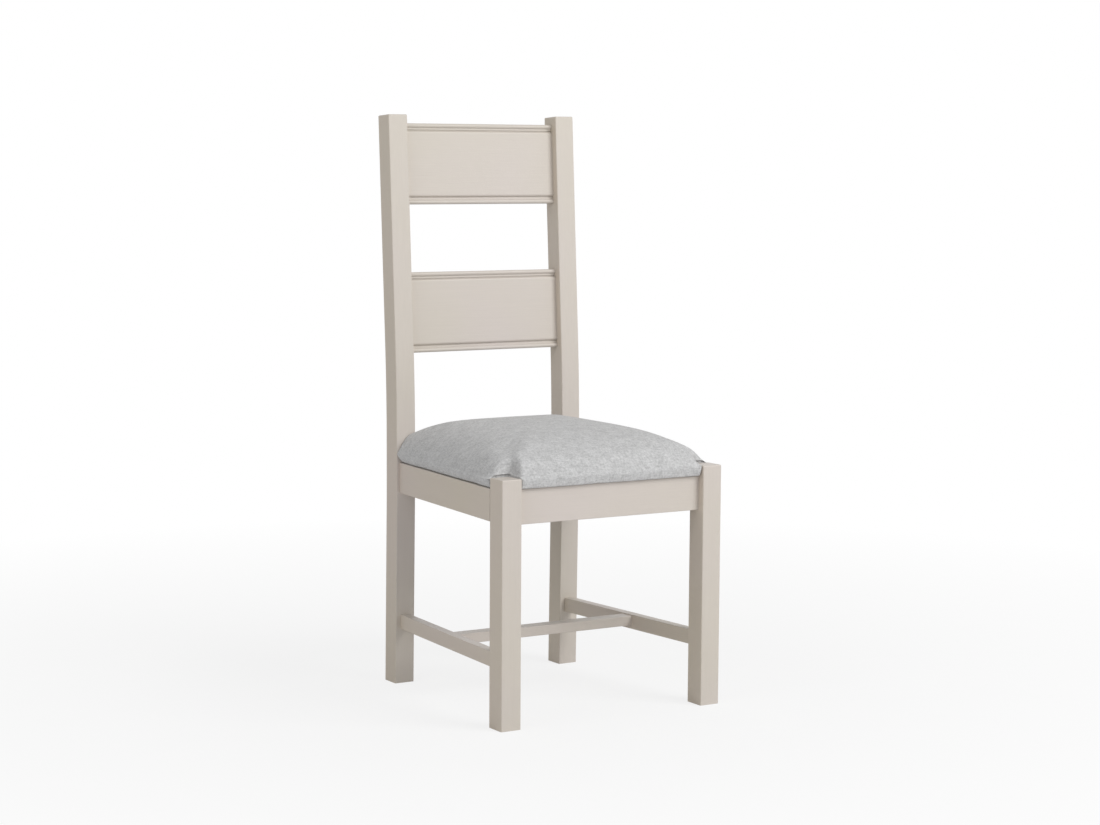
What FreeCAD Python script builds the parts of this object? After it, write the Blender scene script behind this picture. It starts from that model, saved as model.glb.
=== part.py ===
"""A painted ladderback dining chair with an upholstered seat, built as its separate pieces.

Millimetres. +Z is up and the sitter faces -Y. The origin is on the floor, under the middle of the
chair's box. Left is -X and right is +X, as seen from the front.
"""

import FreeCAD, Part
import math
import os
import Sketcher

Vector = FreeCAD.Vector
Rotation = FreeCAD.Rotation

# Driving dimensions: name, size and what it is
DIMENSIONS = [
    ("overall_height", 1050, "floor to the top of the back posts"),
    ("front_width", 452, "over the outer faces of the front legs"),
    ("back_width", 396, "over the outer faces of the back posts"),
    ("seat_depth", 431, "front face of the front legs to the front face of the posts at the seat"),
    ("leg_width", 39, "front leg, side to side"),
    ("leg_depth", 42, "front leg, front to back"),
    ("leg_height", 432, "front leg, which stands above the rails beside the seat"),
    ("post_width", 39, "back post, side to side"),
    ("post_depth", 41, "back post, front to back"),
    ("foot_splay", 5.5, "how far the foot of a post stands behind its upright part"),
    ("upright_start", 345, "height where a post becomes upright"),
    ("knee_height", 536, "height where the rake of the back begins"),
    ("knee_reach", 90, "length over which the knee is rounded, to each side"),
    ("back_rake", 32, "how far the top of a post stands behind its upright part"),
    ("edge_round", 2, "eased long edges and tops of legs and posts"),
    ("rail_round", 1.2, "eased edges of rails, stretchers and slats"),
    ("rail_top", 413, "top of all four seat rails"),
    ("rail_thickness", 20, "seat rails"),
    ("front_rail_height", 61, "front seat rail"),
    ("side_rail_height", 56, "side and back seat rails"),
    ("front_rail_inset", 14, "front rail behind the front faces of the legs"),
    ("side_rail_inset", 6, "side rail inside the outer face of the post, at the post"),
    ("back_rail_inset", 6, "back rail behind the front faces of the posts"),
    ("rail_tenon_thickness", 10, "tenons of the seat rails"),
    ("rail_tenon_shoulder", 10, "shoulder above and below a rail tenon"),
    ("front_tenon_length", 18, "front rail tenon"),
    ("side_tenon_length", 22, "side rail tenon"),
    ("back_tenon_length", 13, "back rail tenon"),
    ("mortise_clearance", 0.15, "glue gap round a tenon"),
    ("mortise_end_gap", 1, "gap past the end of a tenon"),
    ("stretcher_bottom", 102, "underside of the side stretchers"),
    ("stretcher_height", 27, "side stretchers"),
    ("stretcher_thickness", 18, "side stretchers"),
    ("stretcher_inset", 10, "side stretcher inside the outer faces of leg and post"),
    ("stretcher_tenon_thickness", 9, "tenons of the stretchers"),
    ("stretcher_tenon_shoulder", 4, "shoulder above and below a stretcher tenon"),
    ("stretcher_tenon_length", 18, "side stretcher tenon"),
    ("centre_bottom", 109, "underside of the centre stretcher"),
    ("centre_height", 18, "centre stretcher, laid flat"),
    ("centre_width", 28, "centre stretcher, front to back"),
    ("centre_tenon_length", 9, "centre stretcher tenon"),
    ("centre_tenon_width", 18, "centre stretcher tenon, front to back"),
    ("slat_height", 148.5, "each slat of the back"),
    ("slat_thickness", 18, "each slat of the back"),
    ("slat_inset", 14, "flat field of a slat behind the front faces of the posts"),
    ("slat_drop", 15, "top of the posts to the top slat"),
    ("slat_gap", 125, "between the two slats"),
    ("slat_tenon_length", 20, "slat tenon"),
    ("slat_tenon_thickness", 10, "slat tenon"),
    ("slat_tenon_shoulder", 12, "shoulder above and below a slat tenon"),
    ("bead_radius", 4, "half-round bead along the edges of a slat"),
    ("bead_sink", 3.2, "centre of the bead behind the field"),
    ("bead_flat", 3.5, "flat beside the bead"),
    ("quirk_width", 2, "groove beside the flat"),
    ("quirk_depth", 2, "groove below the flat"),
    ("field_round", 4, "rounded edge of the field"),
    ("block_leg", 50, "glued length of a corner block along each rail"),
    ("block_height", 22, "corner block"),
    ("block_drop", 4, "top of a corner block below the rails"),
    ("block_relief", 16, "corner block away from the leg along each rail"),
    ("block_gap", 0.1, "glue film between a corner block and a rail"),
    ("screw_diameter", 4, "shank of all screws"),
    ("screw_head_diameter", 8, "head of all screws"),
    ("screw_head_height", 2.6, "countersunk head"),
    ("block_screw_length", 26, "screw through a corner block into a rail"),
    ("seat_screw_length", 35, "screw through a corner block into the seat board"),
    ("screw_clearance", 0.15, "round a screw, in its hole"),
    ("board_thickness", 12, "plywood under the seat pad"),
    ("board_inset", 5.5, "edge of the board inside the widest line of the pad"),
    ("hem_thickness", 1.5, "fabric turned under the board"),
    ("hem_width", 46, "fabric turned under the board, from its edge"),
    ("cover_thickness", 2, "fabric and its lining over the foam"),
    ("soft_gap", 0.3, "between foam and cover"),
    ("pad_front_inset", 1.5, "front of the pad behind the front faces of the legs"),
    ("pad_back_reach", 29, "back of the pad behind the front faces of the posts"),
    ("pad_leg_gap", 1.5, "between the pad and the legs and posts that it is notched round"),
    ("pad_rise", 92, "rise that the sides of the pad tend to"),
    ("pad_crown", 5.5, "further rise of the pad towards its middle"),
    ("pad_falloff", 42, "distance from its edge over which the pad rises"),
    ("pad_roundness", 0.64, "how sharply the sides of the pad turn into its top"),
    ("pad_top_inset", 190, "inset of the small level top of the crown"),
    ("pad_tuck_in", 2, "lowest edge of the pad inside its widest line"),
    ("pad_roll", 2.5, "height of the widest line of the pad above the rails"),
    ("tuck_width", 34, "fabric drawn down round the top of a front leg"),
    ("tuck_rise", 40, "height over which it is drawn down"),
    ("dust_cover_thickness", 0.6, "cloth closing the underside"),
    ("dust_cover_gap", 3, "dust cover inside the rails"),
    ("staple_crown", 10, "width of a staple"),
    ("staple_wire", 0.8, "staple wire"),
    ("staple_leg", 8, "staple leg"),
    ("staple_pitch", 55, "most distance between staples"),
    ("staple_row_end", 52, "end of a row of staples away from the corner"),
    ("staple_clearance", 0.1, "round a staple leg, in its hole"),
    ("cover_staple_inset", 38, "cover staples inside the widest line of the pad"),
    ("dust_staple_inset", 7, "dust cover staples inside its edge"),
]

doc = FreeCAD.newDocument("ladderback_chair")
sheet = doc.addObject("Spreadsheet::Sheet", "dims")
for row, (alias, size, meaning) in enumerate(DIMENSIONS, 1):
    sheet.set(f"A{row}", alias)
    sheet.set(f"B{row}", str(size))
    sheet.set(f"C{row}", meaning)
    sheet.setAlias(f"B{row}", alias)
doc.recompute()


def number(expression):
    """The value that an expression on the sheet has now."""
    result = sheet.evalExpression(expression)
    return float(getattr(result, "Value", result))


# Derived places, as expressions on the sheet
RAKE = "atan(dims.back_rake / (dims.overall_height - dims.knee_height))"
TOP_DEPTH = f"(dims.post_depth * cos({RAKE}) ^ 2)"
FRONT_Y = f"(-(dims.seat_depth + dims.back_rake + {TOP_DEPTH}) / 2)"
LEG_BACK_Y = f"({FRONT_Y} + dims.leg_depth)"
POST_Y = f"({FRONT_Y} + dims.seat_depth)"
LEG_X = "(dims.front_width / 2 - dims.leg_width / 2)"
POST_X = "(dims.back_width / 2 - dims.post_width / 2)"
SPLAY = "atan(dims.foot_splay / dims.upright_start)"
RAKE_LENGTH = f"((dims.overall_height - dims.knee_height) / cos({RAKE}))"
TOP_SLAT = f"({RAKE_LENGTH} - dims.slat_drop - dims.slat_height)"
LOWER_SLAT = f"({TOP_SLAT} - dims.slat_gap - dims.slat_height)"
RAIL_OUT_FRONT = "(dims.front_width / 2)"
RAIL_OUT_BACK = "(dims.back_width / 2 - dims.side_rail_inset)"
STRETCHER_OUT_FRONT = "(dims.front_width / 2 - dims.stretcher_inset)"
STRETCHER_OUT_BACK = "(dims.back_width / 2 - dims.stretcher_inset)"
SIDE_SPAN = f"({POST_Y} - {LEG_BACK_Y})"
MIDDLE_Y = f"(({POST_Y} + {LEG_BACK_Y}) / 2)"
BLOCK_TOP = "(dims.rail_top - dims.block_drop)"


def along(at_leg, at_post, y):
    """The x of a line that runs from the legs to the posts, at depth y."""
    return f"({at_leg} + ({at_post} - {at_leg}) * ({y} - {LEG_BACK_Y}) / {SIDE_SPAN})"


def rail_in(y):
    """The x of a side rail's inner face at depth y."""
    return f"({along(RAIL_OUT_FRONT, RAIL_OUT_BACK, y)} - dims.rail_thickness)"


def stretcher_in(y):
    """The x of a side stretcher's inner face at depth y."""
    return f"({along(STRETCHER_OUT_FRONT, STRETCHER_OUT_BACK, y)} - dims.stretcher_thickness)"


# Helpers for bodies and their features


def new_body(label, x="0", y="0", z="0"):
    """A body with its label, placed by expressions."""
    body = doc.addObject("PartDesign::Body", label)
    body.Label = label
    for axis, value in zip("xyz", (x, y, z)):
        body.setExpression(f"Placement.Base.{axis}", value)
    return body


def new_sketch(body, name, role, offset="0"):
    """A sketch on one of the body's own origin planes, moved along its normal."""
    sketch = body.newObject("Sketcher::SketchObject", name)
    plane = next(item for item in body.Origin.OriginFeatures if item.Role == role)
    sketch.AttachmentSupport = [(plane, "")]
    sketch.MapMode = "FlatFace"
    sketch.setExpression("AttachmentOffset.Base.z", offset)
    return sketch


def polygon(points):
    """The straight segments of a closed outline."""
    return [(start, end) for start, end in zip(points, points[1:] + points[:1])]


def draw(sketch, segments):
    """Draw a closed outline of (start, end) lines and (start, end, centre) arcs and fix it by the sheet."""
    ends = []
    for segment in segments:
        start, end = (Vector(number(point[0]), number(point[1]), 0) for point in segment[:2])
        if len(segment) == 2:
            sketch.addGeometry(Part.LineSegment(start, end), False)
            ends.append((1, 2))
            continue
        centre = Vector(number(segment[2][0]), number(segment[2][1]), 0)
        first, last = start - centre, end - centre
        forward = first.x * last.y - first.y * last.x > 0
        angles = [math.atan2(arm.y, arm.x) for arm in ((first, last) if forward else (last, first))]
        if angles[1] < angles[0]:
            angles[1] += 2 * math.pi
        circle = Part.Circle(centre, Vector(0, 0, 1), first.Length)
        sketch.addGeometry(Part.ArcOfCircle(circle, *angles), False)
        ends.append((1, 2) if forward else (2, 1))
    for index, segment in enumerate(segments):
        following = (index + 1) % len(segments)
        sketch.addConstraint(
            Sketcher.Constraint("Coincident", index, ends[index][1], following, ends[following][0])
        )
        fixed = [("DistanceX", ends[index][0], segment[0][0]), ("DistanceY", ends[index][0], segment[0][1])]
        if len(segment) == 3:
            chord_x = number(segment[1][0]) - number(segment[0][0])
            chord_y = number(segment[1][1]) - number(segment[0][1])
            steep = abs(chord_y) > abs(chord_x)
            fixed.append(("DistanceX", 3, segment[2][0]) if steep else ("DistanceY", 3, segment[2][1]))
        for kind, point, value in fixed:
            datum = Sketcher.Constraint(kind, -1, 1, index, point, number(value))
            sketch.setExpression(f"Constraints[{sketch.addConstraint(datum)}]", value)


def pad(body, sketch, length, symmetric=False):
    """Thicken a sketch into the body."""
    feature = body.newObject("PartDesign::Pad", f"{sketch.Name}_pad")
    feature.Profile = sketch
    feature.SideType = "Symmetric" if symmetric else "One side"
    feature.setExpression("Length", length)
    sketch.Visibility = False
    return feature


def block(body, kind, name, middle, low, size, turn=None):
    """An Additive or Subtractive box: x of its middle, low y and z, its size, and a turn about x."""
    feature = body.newObject(f"PartDesign::{kind}Box", name)
    if turn:
        feature.Placement = FreeCAD.Placement(Vector(), Rotation(Vector(1, 0, 0), 1))
        feature.setExpression("Placement.Rotation.Angle", turn)
    feature.setExpression("Placement.Base.x", f"{middle} - ({size[0]}) / 2")
    feature.setExpression("Placement.Base.y", low[0])
    feature.setExpression("Placement.Base.z", low[1])
    for prop, value in zip(("Length", "Width", "Height"), size):
        feature.setExpression(prop, value)
    return feature


def bore(body, name, start, axis, diameter, depth):
    """A round hole from a starting point along an axis."""
    feature = body.newObject("PartDesign::SubtractiveCylinder", name)
    feature.Placement = FreeCAD.Placement(Vector(), Rotation(Vector(0, 0, 1), Vector(*axis)))
    for letter, value in zip("xyz", start):
        feature.setExpression(f"Placement.Base.{letter}", value)
    feature.setExpression("Radius", f"({diameter}) / 2")
    feature.setExpression("Height", depth)
    return feature


def ease(body, radius, chosen):
    """Round the edges of the body's last feature that a test picks by their box."""
    doc.recompute()
    tip = body.Tip
    names = [f"Edge{i}" for i, edge in enumerate(tip.Shape.Edges, 1) if chosen(edge.BoundBox)]
    feature = body.newObject("PartDesign::Fillet", f"{body.Name}_eased")
    feature.Base = (tip, names)
    feature.setExpression("Radius", radius)
    return feature


def wider(size, sides=2):
    """A tenon's size grown to its mortise."""
    return f"({size} + {sides} * dims.mortise_clearance)"


def lower(place):
    """A tenon's low side moved out to its mortise."""
    return f"({place} - dims.mortise_clearance)"


# Tenons: low z and height of each kind, from the piece that carries them
RAIL_TENON_LOW = {
    "front": "(dims.rail_top - dims.front_rail_height + dims.rail_tenon_shoulder)",
    "side": "(dims.rail_top - dims.side_rail_height + dims.rail_tenon_shoulder)",
}
RAIL_TENON_HEIGHT = {
    "front": "(dims.front_rail_height - 2 * dims.rail_tenon_shoulder)",
    "side": "(dims.side_rail_height - 2 * dims.rail_tenon_shoulder)",
}
RAIL_CHEEK = "((dims.rail_thickness - dims.rail_tenon_thickness) / 2)"
STRETCHER_TENON_LOW = "(dims.stretcher_bottom + dims.stretcher_tenon_shoulder)"
STRETCHER_TENON_HEIGHT = "(dims.stretcher_height - 2 * dims.stretcher_tenon_shoulder)"
STRETCHER_TENON_REACH = "(dims.stretcher_tenon_length + dims.foot_splay)"
SHANK_HOLE = "(dims.screw_diameter + 2 * dims.screw_clearance)"
HEAD_HOLE = "(dims.screw_head_diameter + 2 * dims.screw_clearance)"
CENTRE_TENON_LOW = "(dims.centre_bottom + dims.stretcher_tenon_shoulder)"
CENTRE_TENON_HEIGHT = "(dims.centre_height - 2 * dims.stretcher_tenon_shoulder)"
SLAT_TENON_Y = "(dims.slat_inset + (dims.slat_thickness - dims.slat_tenon_thickness) / 2)"
SLAT_TENON_HEIGHT = "(dims.slat_height - 2 * dims.slat_tenon_shoulder)"


def front_leg(label, side):
    """A square front leg with mortises for the front rail, the side rail and the side stretcher."""
    leg = new_body(label, f"{side} * {LEG_X}", f"{FRONT_Y} + dims.leg_depth / 2")
    half_x, half_y = "dims.leg_width / 2", "dims.leg_depth / 2"
    section = new_sketch(leg, f"{label}_section", "XY_Plane")
    draw(section, polygon([
        (f"-{half_x}", f"-{half_y}"), (half_x, f"-{half_y}"),
        (half_x, half_y), (f"-{half_x}", half_y),
    ]))
    pad(leg, section, "dims.leg_height")
    ease(leg, "dims.edge_round", lambda box: box.ZMax > 1)
    reach = "(dims.front_tenon_length + dims.mortise_end_gap)"
    block(
        leg, "Subtractive", f"{label}_front_mortise",
        f"{-side} * ({half_x} - {reach} / 2)",
        (lower(f"-{half_y} + dims.front_rail_inset + {RAIL_CHEEK}"), lower(RAIL_TENON_LOW["front"])),
        (reach, wider("dims.rail_tenon_thickness"), wider(RAIL_TENON_HEIGHT["front"])),
    )
    reach = "(dims.side_tenon_length + dims.mortise_end_gap)"
    block(
        leg, "Subtractive", f"{label}_side_mortise",
        f"{side} * ({RAIL_OUT_FRONT} - dims.rail_thickness / 2 - {LEG_X})",
        (f"{half_y} - {reach}", lower(RAIL_TENON_LOW["side"])),
        (wider("dims.rail_tenon_thickness"), reach, wider(RAIL_TENON_HEIGHT["side"])),
    )
    reach = "(dims.stretcher_tenon_length + dims.mortise_end_gap)"
    block(
        leg, "Subtractive", f"{label}_stretcher_mortise",
        f"{side} * ({STRETCHER_OUT_FRONT} - dims.stretcher_thickness / 2 - {LEG_X})",
        (f"{half_y} - {reach}", lower(STRETCHER_TENON_LOW)),
        (wider("dims.stretcher_tenon_thickness"), reach, wider(STRETCHER_TENON_HEIGHT)),
    )
    return leg


def post_side(behind):
    """Points of the post's long outline, from the foot up, at a distance behind its front face."""
    return [
        (f"{behind} + dims.foot_splay", "0"),
        (behind, "dims.upright_start"),
        (behind, "dims.knee_height - dims.knee_reach"),
        (
            f"{behind} + dims.knee_reach * sin({RAKE})",
            f"dims.knee_height + dims.knee_reach * cos({RAKE})",
        ),
    ]


def back_post(label, side):
    """A back post, sawn to a shape that is upright at the seat and raked above it."""
    post = new_body(label, f"{side} * {POST_X}", POST_Y)
    front, back = post_side("0"), post_side("dims.post_depth")
    top_front = ("dims.back_rake", "dims.overall_height")
    top_back = (
        f"dims.back_rake + {TOP_DEPTH}",
        f"dims.overall_height - dims.post_depth * sin({RAKE}) * cos({RAKE})",
    )
    knee_radius = f"dims.knee_reach / tan({RAKE} / 2)"
    centre_z = "dims.knee_height - dims.knee_reach"
    profile = new_sketch(post, f"{label}_profile", "YZ_Plane")
    draw(profile, [
        (front[0], front[1]),
        (front[1], front[2]),
        (front[2], front[3], (knee_radius, centre_z)),
        (front[3], top_front),
        (top_front, top_back),
        (top_back, back[3]),
        (back[3], back[2], (f"dims.post_depth + {knee_radius}", centre_z)),
        (back[2], back[1]),
        (back[1], back[0]),
        (back[0], front[0]),
    ])
    pad(post, profile, "dims.post_width", symmetric=True)
    top = number("dims.overall_height - dims.post_depth")
    ease(post, "dims.edge_round", lambda box: box.ZLength > 5 or box.ZMin > top)
    reach = "(dims.side_tenon_length + dims.mortise_end_gap)"
    block(
        post, "Subtractive", f"{label}_side_mortise",
        f"{side} * ({RAIL_OUT_BACK} - dims.rail_thickness / 2 - {POST_X})",
        ("0", lower(RAIL_TENON_LOW["side"])),
        (wider("dims.rail_tenon_thickness"), reach, wider(RAIL_TENON_HEIGHT["side"])),
    )
    reach = "(dims.back_tenon_length + dims.mortise_end_gap)"
    block(
        post, "Subtractive", f"{label}_back_mortise",
        f"{-side} * (dims.post_width - {reach}) / 2",
        (lower(f"dims.back_rail_inset + {RAIL_CHEEK}"), lower(RAIL_TENON_LOW["side"])),
        (reach, wider("dims.rail_tenon_thickness"), wider(RAIL_TENON_HEIGHT["side"])),
    )
    block(
        post, "Subtractive", f"{label}_stretcher_mortise",
        f"{side} * ({STRETCHER_OUT_BACK} - dims.stretcher_thickness / 2 - {POST_X})",
        ("0", lower(STRETCHER_TENON_LOW)),
        (
            wider("dims.stretcher_tenon_thickness"),
            f"{STRETCHER_TENON_REACH} + dims.mortise_end_gap",
            wider(STRETCHER_TENON_HEIGHT),
        ),
    )
    reach = "(dims.slat_tenon_length + dims.mortise_end_gap)"
    for name, start in (("top", TOP_SLAT), ("lower", LOWER_SLAT)):
        up = f"({start} + dims.slat_tenon_shoulder - dims.mortise_clearance)"
        deep = f"({SLAT_TENON_Y} - dims.mortise_clearance)"
        block(
            post, "Subtractive", f"{label}_{name}_slat_mortise",
            f"{-side} * (dims.post_width - {reach}) / 2",
            (
                f"{up} * sin({RAKE}) + {deep} * cos({RAKE})",
                f"dims.knee_height + {up} * cos({RAKE}) - {deep} * sin({RAKE})",
            ),
            (reach, wider("dims.slat_tenon_thickness"), wider(SLAT_TENON_HEIGHT)),
            turn=f"-{RAKE}",
        )
    return post


def slat_edge():
    """Segments of a slat's moulded front from its lower edge up to the flat field."""
    deep = "(dims.slat_inset + dims.bead_sink)"
    crown = f"({deep} - dims.bead_radius)"
    bead_end = "(2 * dims.bead_radius)"
    quirk = f"({bead_end} + dims.bead_flat)"
    quirk_end = f"({quirk} + dims.quirk_width)"
    quirk_floor = f"({deep} + dims.quirk_depth)"
    turn = "(dims.slat_inset + dims.field_round)"
    bead_centre = (deep, "dims.bead_radius")
    return [
        ((deep, "0"), (crown, "dims.bead_radius"), bead_centre),
        ((crown, "dims.bead_radius"), (deep, bead_end), bead_centre),
        ((deep, bead_end), (deep, quirk)),
        ((deep, quirk), (quirk_floor, quirk)),
        ((quirk_floor, quirk), (quirk_floor, quirk_end)),
        ((quirk_floor, quirk_end), (turn, quirk_end)),
        (
            (turn, quirk_end),
            ("dims.slat_inset", f"({quirk_end} + dims.field_round)"),
            (turn, f"({quirk_end} + dims.field_round)"),
        ),
    ]


def upside_down(segments):
    """The same segments mirrored about the middle of the slat and walked the other way."""
    def flip(point):
        return (point[0], f"(dims.slat_height - {point[1]})")
    return [
        (flip(item[1]), flip(item[0])) + tuple(flip(through) for through in item[2:])
        for item in reversed(segments)
    ]


def back_slat(label, start):
    """A flat slat with a bead and quirk along both edges of its front, and a tenon at each end."""
    slat = new_body(
        label, "0", f"{POST_Y} + {start} * sin({RAKE})", f"dims.knee_height + {start} * cos({RAKE})"
    )
    slat.Placement = FreeCAD.Placement(slat.Placement.Base, Rotation(Vector(1, 0, 0), -1))
    slat.setExpression("Placement.Rotation.Angle", f"-{RAKE}")
    below = slat_edge()
    above = upside_down(below)
    back = "(dims.slat_inset + dims.slat_thickness)"
    section = new_sketch(slat, f"{label}_section", "YZ_Plane")
    draw(section, below + [(below[-1][1], above[0][0])] + above + [
        (above[-1][1], (back, "dims.slat_height")),
        ((back, "dims.slat_height"), (back, "0")),
        ((back, "0"), below[0][0]),
    ])
    span = "(dims.back_width - 2 * dims.post_width)"
    pad(slat, section, span, symmetric=True)
    back_y = number(back)
    long = number(span) * 0.9
    ease(slat, "dims.rail_round", lambda box: box.YMin > back_y - 0.1 and box.XLength > long)
    for side in (-1, 1):
        block(
            slat, "Additive", f"{label}_tenon_{'left' if side < 0 else 'right'}",
            f"{side} * ({span} + dims.slat_tenon_length) / 2",
            (SLAT_TENON_Y, "dims.slat_tenon_shoulder"),
            ("dims.slat_tenon_length", "dims.slat_tenon_thickness", SLAT_TENON_HEIGHT),
        )
    return slat


def cross_rail(label, kind, span, y, height, tenon_length):
    """The front or the back seat rail: a straight rail with a tenon at each end."""
    rail = new_body(label, "0", y, f"dims.rail_top - {height}")
    section = new_sketch(rail, f"{label}_section", "XY_Plane")
    half = f"({span} / 2)"
    corners = [
        (f"-{half}", "0"), (half, "0"), (half, "dims.rail_thickness"), (f"-{half}", "dims.rail_thickness"),
    ]
    draw(section, polygon(corners))
    pad(rail, section, height)
    long = number(span) * 0.9
    ease(rail, "dims.rail_round", lambda box: box.XLength > long)
    for side in (-1, 1):
        block(
            rail, "Additive", f"{label}_tenon_{'left' if side < 0 else 'right'}",
            f"{side} * ({span} + {tenon_length}) / 2",
            (RAIL_CHEEK, "dims.rail_tenon_shoulder"),
            (tenon_length, "dims.rail_tenon_thickness", RAIL_TENON_HEIGHT[kind]),
        )
        end = "front" if kind == "front" else "back"
        screw_bores(rail, end, side, (0,), ("0", y, f"(dims.rail_top - {height})"))
    return rail


def side_rail(label, side):
    """A side seat rail, flush with the leg and set in from the post, with square tenons."""
    rail = new_body(label, "0", "0", "dims.rail_top - dims.side_rail_height")
    plan = new_sketch(rail, f"{label}_plan", "XY_Plane")
    draw(plan, polygon([
        (f"{side} * {RAIL_OUT_FRONT}", LEG_BACK_Y),
        (f"{side} * {RAIL_OUT_BACK}", POST_Y),
        (f"{side} * ({RAIL_OUT_BACK} - dims.rail_thickness)", POST_Y),
        (f"{side} * ({RAIL_OUT_FRONT} - dims.rail_thickness)", LEG_BACK_Y),
    ]))
    pad(rail, plan, "dims.side_rail_height")
    long = number(SIDE_SPAN) * 0.9
    ease(rail, "dims.rail_round", lambda box: box.YLength > long)
    ends = (
        ("front", RAIL_OUT_FRONT, f"{LEG_BACK_Y} - dims.side_tenon_length"),
        ("back", RAIL_OUT_BACK, POST_Y),
    )
    for name, outer, y in ends:
        block(
            rail, "Additive", f"{label}_{name}_tenon",
            f"{side} * ({outer} - dims.rail_thickness / 2)",
            (y, "dims.rail_tenon_shoulder"),
            ("dims.rail_tenon_thickness", "dims.side_tenon_length", RAIL_TENON_HEIGHT["side"]),
        )
        screw_bores(rail, name, side, (1,), ("0", "0", "(dims.rail_top - dims.side_rail_height)"))
    return rail


def side_stretcher(label, side):
    """A side stretcher, scribed to the slanted foot of the post, with a mortise for the centre one."""
    rail = new_body(label)
    plan = new_sketch(rail, f"{label}_plan", "XY_Plane", "dims.stretcher_bottom")
    foot_y = f"({POST_Y} + dims.foot_splay)"
    at_foot = along(STRETCHER_OUT_FRONT, STRETCHER_OUT_BACK, foot_y)
    draw(plan, polygon([
        (f"{side} * {STRETCHER_OUT_FRONT}", LEG_BACK_Y),
        (f"{side} * {at_foot}", foot_y),
        (f"{side} * ({at_foot} - dims.stretcher_thickness)", foot_y),
        (f"{side} * ({STRETCHER_OUT_FRONT} - dims.stretcher_thickness)", LEG_BACK_Y),
    ]))
    pad(rail, plan, "dims.stretcher_height")
    long = number(SIDE_SPAN) * 0.9
    ease(rail, "dims.rail_round", lambda box: box.YLength > long)
    block(
        rail, "Subtractive", f"{label}_scribe", f"{side} * {STRETCHER_OUT_BACK}", (foot_y, "0"),
        ("4 * dims.stretcher_thickness", "2 * dims.foot_splay + 1", "dims.upright_start"), turn=SPLAY,
    )
    reach = "dims.stretcher_tenon_length"
    ends = (
        ("front", STRETCHER_OUT_FRONT, f"{LEG_BACK_Y} - {reach}", reach),
        ("back", STRETCHER_OUT_BACK, POST_Y, STRETCHER_TENON_REACH),
    )
    for name, outer, y, length in ends:
        block(
            rail, "Additive", f"{label}_{name}_tenon",
            f"{side} * ({outer} - dims.stretcher_thickness / 2)",
            (y, STRETCHER_TENON_LOW),
            ("dims.stretcher_tenon_thickness", length, STRETCHER_TENON_HEIGHT),
        )
    depth = "(dims.centre_tenon_length + dims.mortise_end_gap)"
    start = stretcher_in(f"({MIDDLE_Y} + dims.centre_tenon_width / 2)")
    block(
        rail, "Subtractive", f"{label}_centre_mortise",
        f"{side} * ({start} + {depth} / 2)",
        (lower(f"{MIDDLE_Y} - dims.centre_tenon_width / 2"), lower(CENTRE_TENON_LOW)),
        (depth, wider("dims.centre_tenon_width"), wider(CENTRE_TENON_HEIGHT)),
    )
    return rail


def centre_stretcher(label):
    """The cross stretcher, laid flat between the middles of the side stretchers."""
    rail = new_body(label)
    near = f"({MIDDLE_Y} - dims.centre_width / 2)"
    far = f"({MIDDLE_Y} + dims.centre_width / 2)"
    plan = new_sketch(rail, f"{label}_plan", "XY_Plane", "dims.centre_bottom")
    draw(plan, polygon([
        (f"-{stretcher_in(near)}", near), (stretcher_in(near), near),
        (stretcher_in(far), far), (f"-{stretcher_in(far)}", far),
    ]))
    pad(rail, plan, "dims.centre_height")
    long = number(f"2 * {stretcher_in(far)}") * 0.9
    ease(rail, "dims.rail_round", lambda box: box.XLength > long)
    inner = stretcher_in(f"({MIDDLE_Y} + dims.centre_tenon_width / 2)")
    root = "dims.stretcher_thickness / 2"
    for side in (-1, 1):
        block(
            rail, "Additive", f"{label}_tenon_{'left' if side < 0 else 'right'}",
            f"{side} * ({inner} + dims.centre_tenon_length / 2 - {root} / 2)",
            (f"{MIDDLE_Y} - dims.centre_tenon_width / 2", CENTRE_TENON_LOW),
            (f"dims.centre_tenon_length + {root}", "dims.centre_tenon_width", CENTRE_TENON_HEIGHT),
        )
    return rail


# Corner blocks: for each end of the seat, the rail face that a block is glued to, the corner of
# the leg that it clears, and the way from that rail into the seat
FRONT_RAIL_Y = f"({FRONT_Y} + dims.front_rail_inset)"
BACK_RAIL_Y = f"({POST_Y} + dims.back_rail_inset)"
CORNERS = {
    "front": (
        f"({FRONT_RAIL_Y} + dims.rail_thickness)",
        "(dims.front_width / 2 - dims.leg_width)", LEG_BACK_Y, 1,
    ),
    "back": (BACK_RAIL_Y, "(dims.back_width / 2 - dims.post_width)", POST_Y, -1),
}


def block_places(end):
    """Plan points of a right-hand corner block: its outline, and the starts of its three screws."""
    rail_y, leg_x, leg_y, inward = CORNERS[end]
    face_y = f"({rail_y} + {inward} * dims.block_gap)"
    near_x = f"({leg_x} - dims.block_relief)"
    far_x = f"({near_x} - dims.block_leg)"
    near_y = f"({leg_y} + {inward} * dims.block_relief)"
    far_y = f"({near_y} + {inward} * dims.block_leg)"
    outline = [
        (near_x, face_y), (far_x, face_y),
        (f"({rail_in(far_y)} - dims.block_gap)", far_y),
        (f"({rail_in(near_y)} - dims.block_gap)", near_y),
    ]
    cross_x = f"({near_x} - dims.block_leg / 2)"
    side_y = f"({near_y} + {inward} * dims.block_leg / 2)"
    slope_y = f"(({face_y} + {far_y}) / 2)"
    slope_x = f"(({far_x} + {rail_in(far_y)}) / 2)"
    seat = (f"({near_x} - dims.block_leg * 0.1)", f"({near_y} + {inward} * dims.block_leg * 0.06)")
    return outline, (cross_x, slope_y), (slope_x, side_y), seat


# How deep a corner block's screw goes into a rail
SCREW_BITE = "(dims.rail_thickness * 0.68)"


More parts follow.
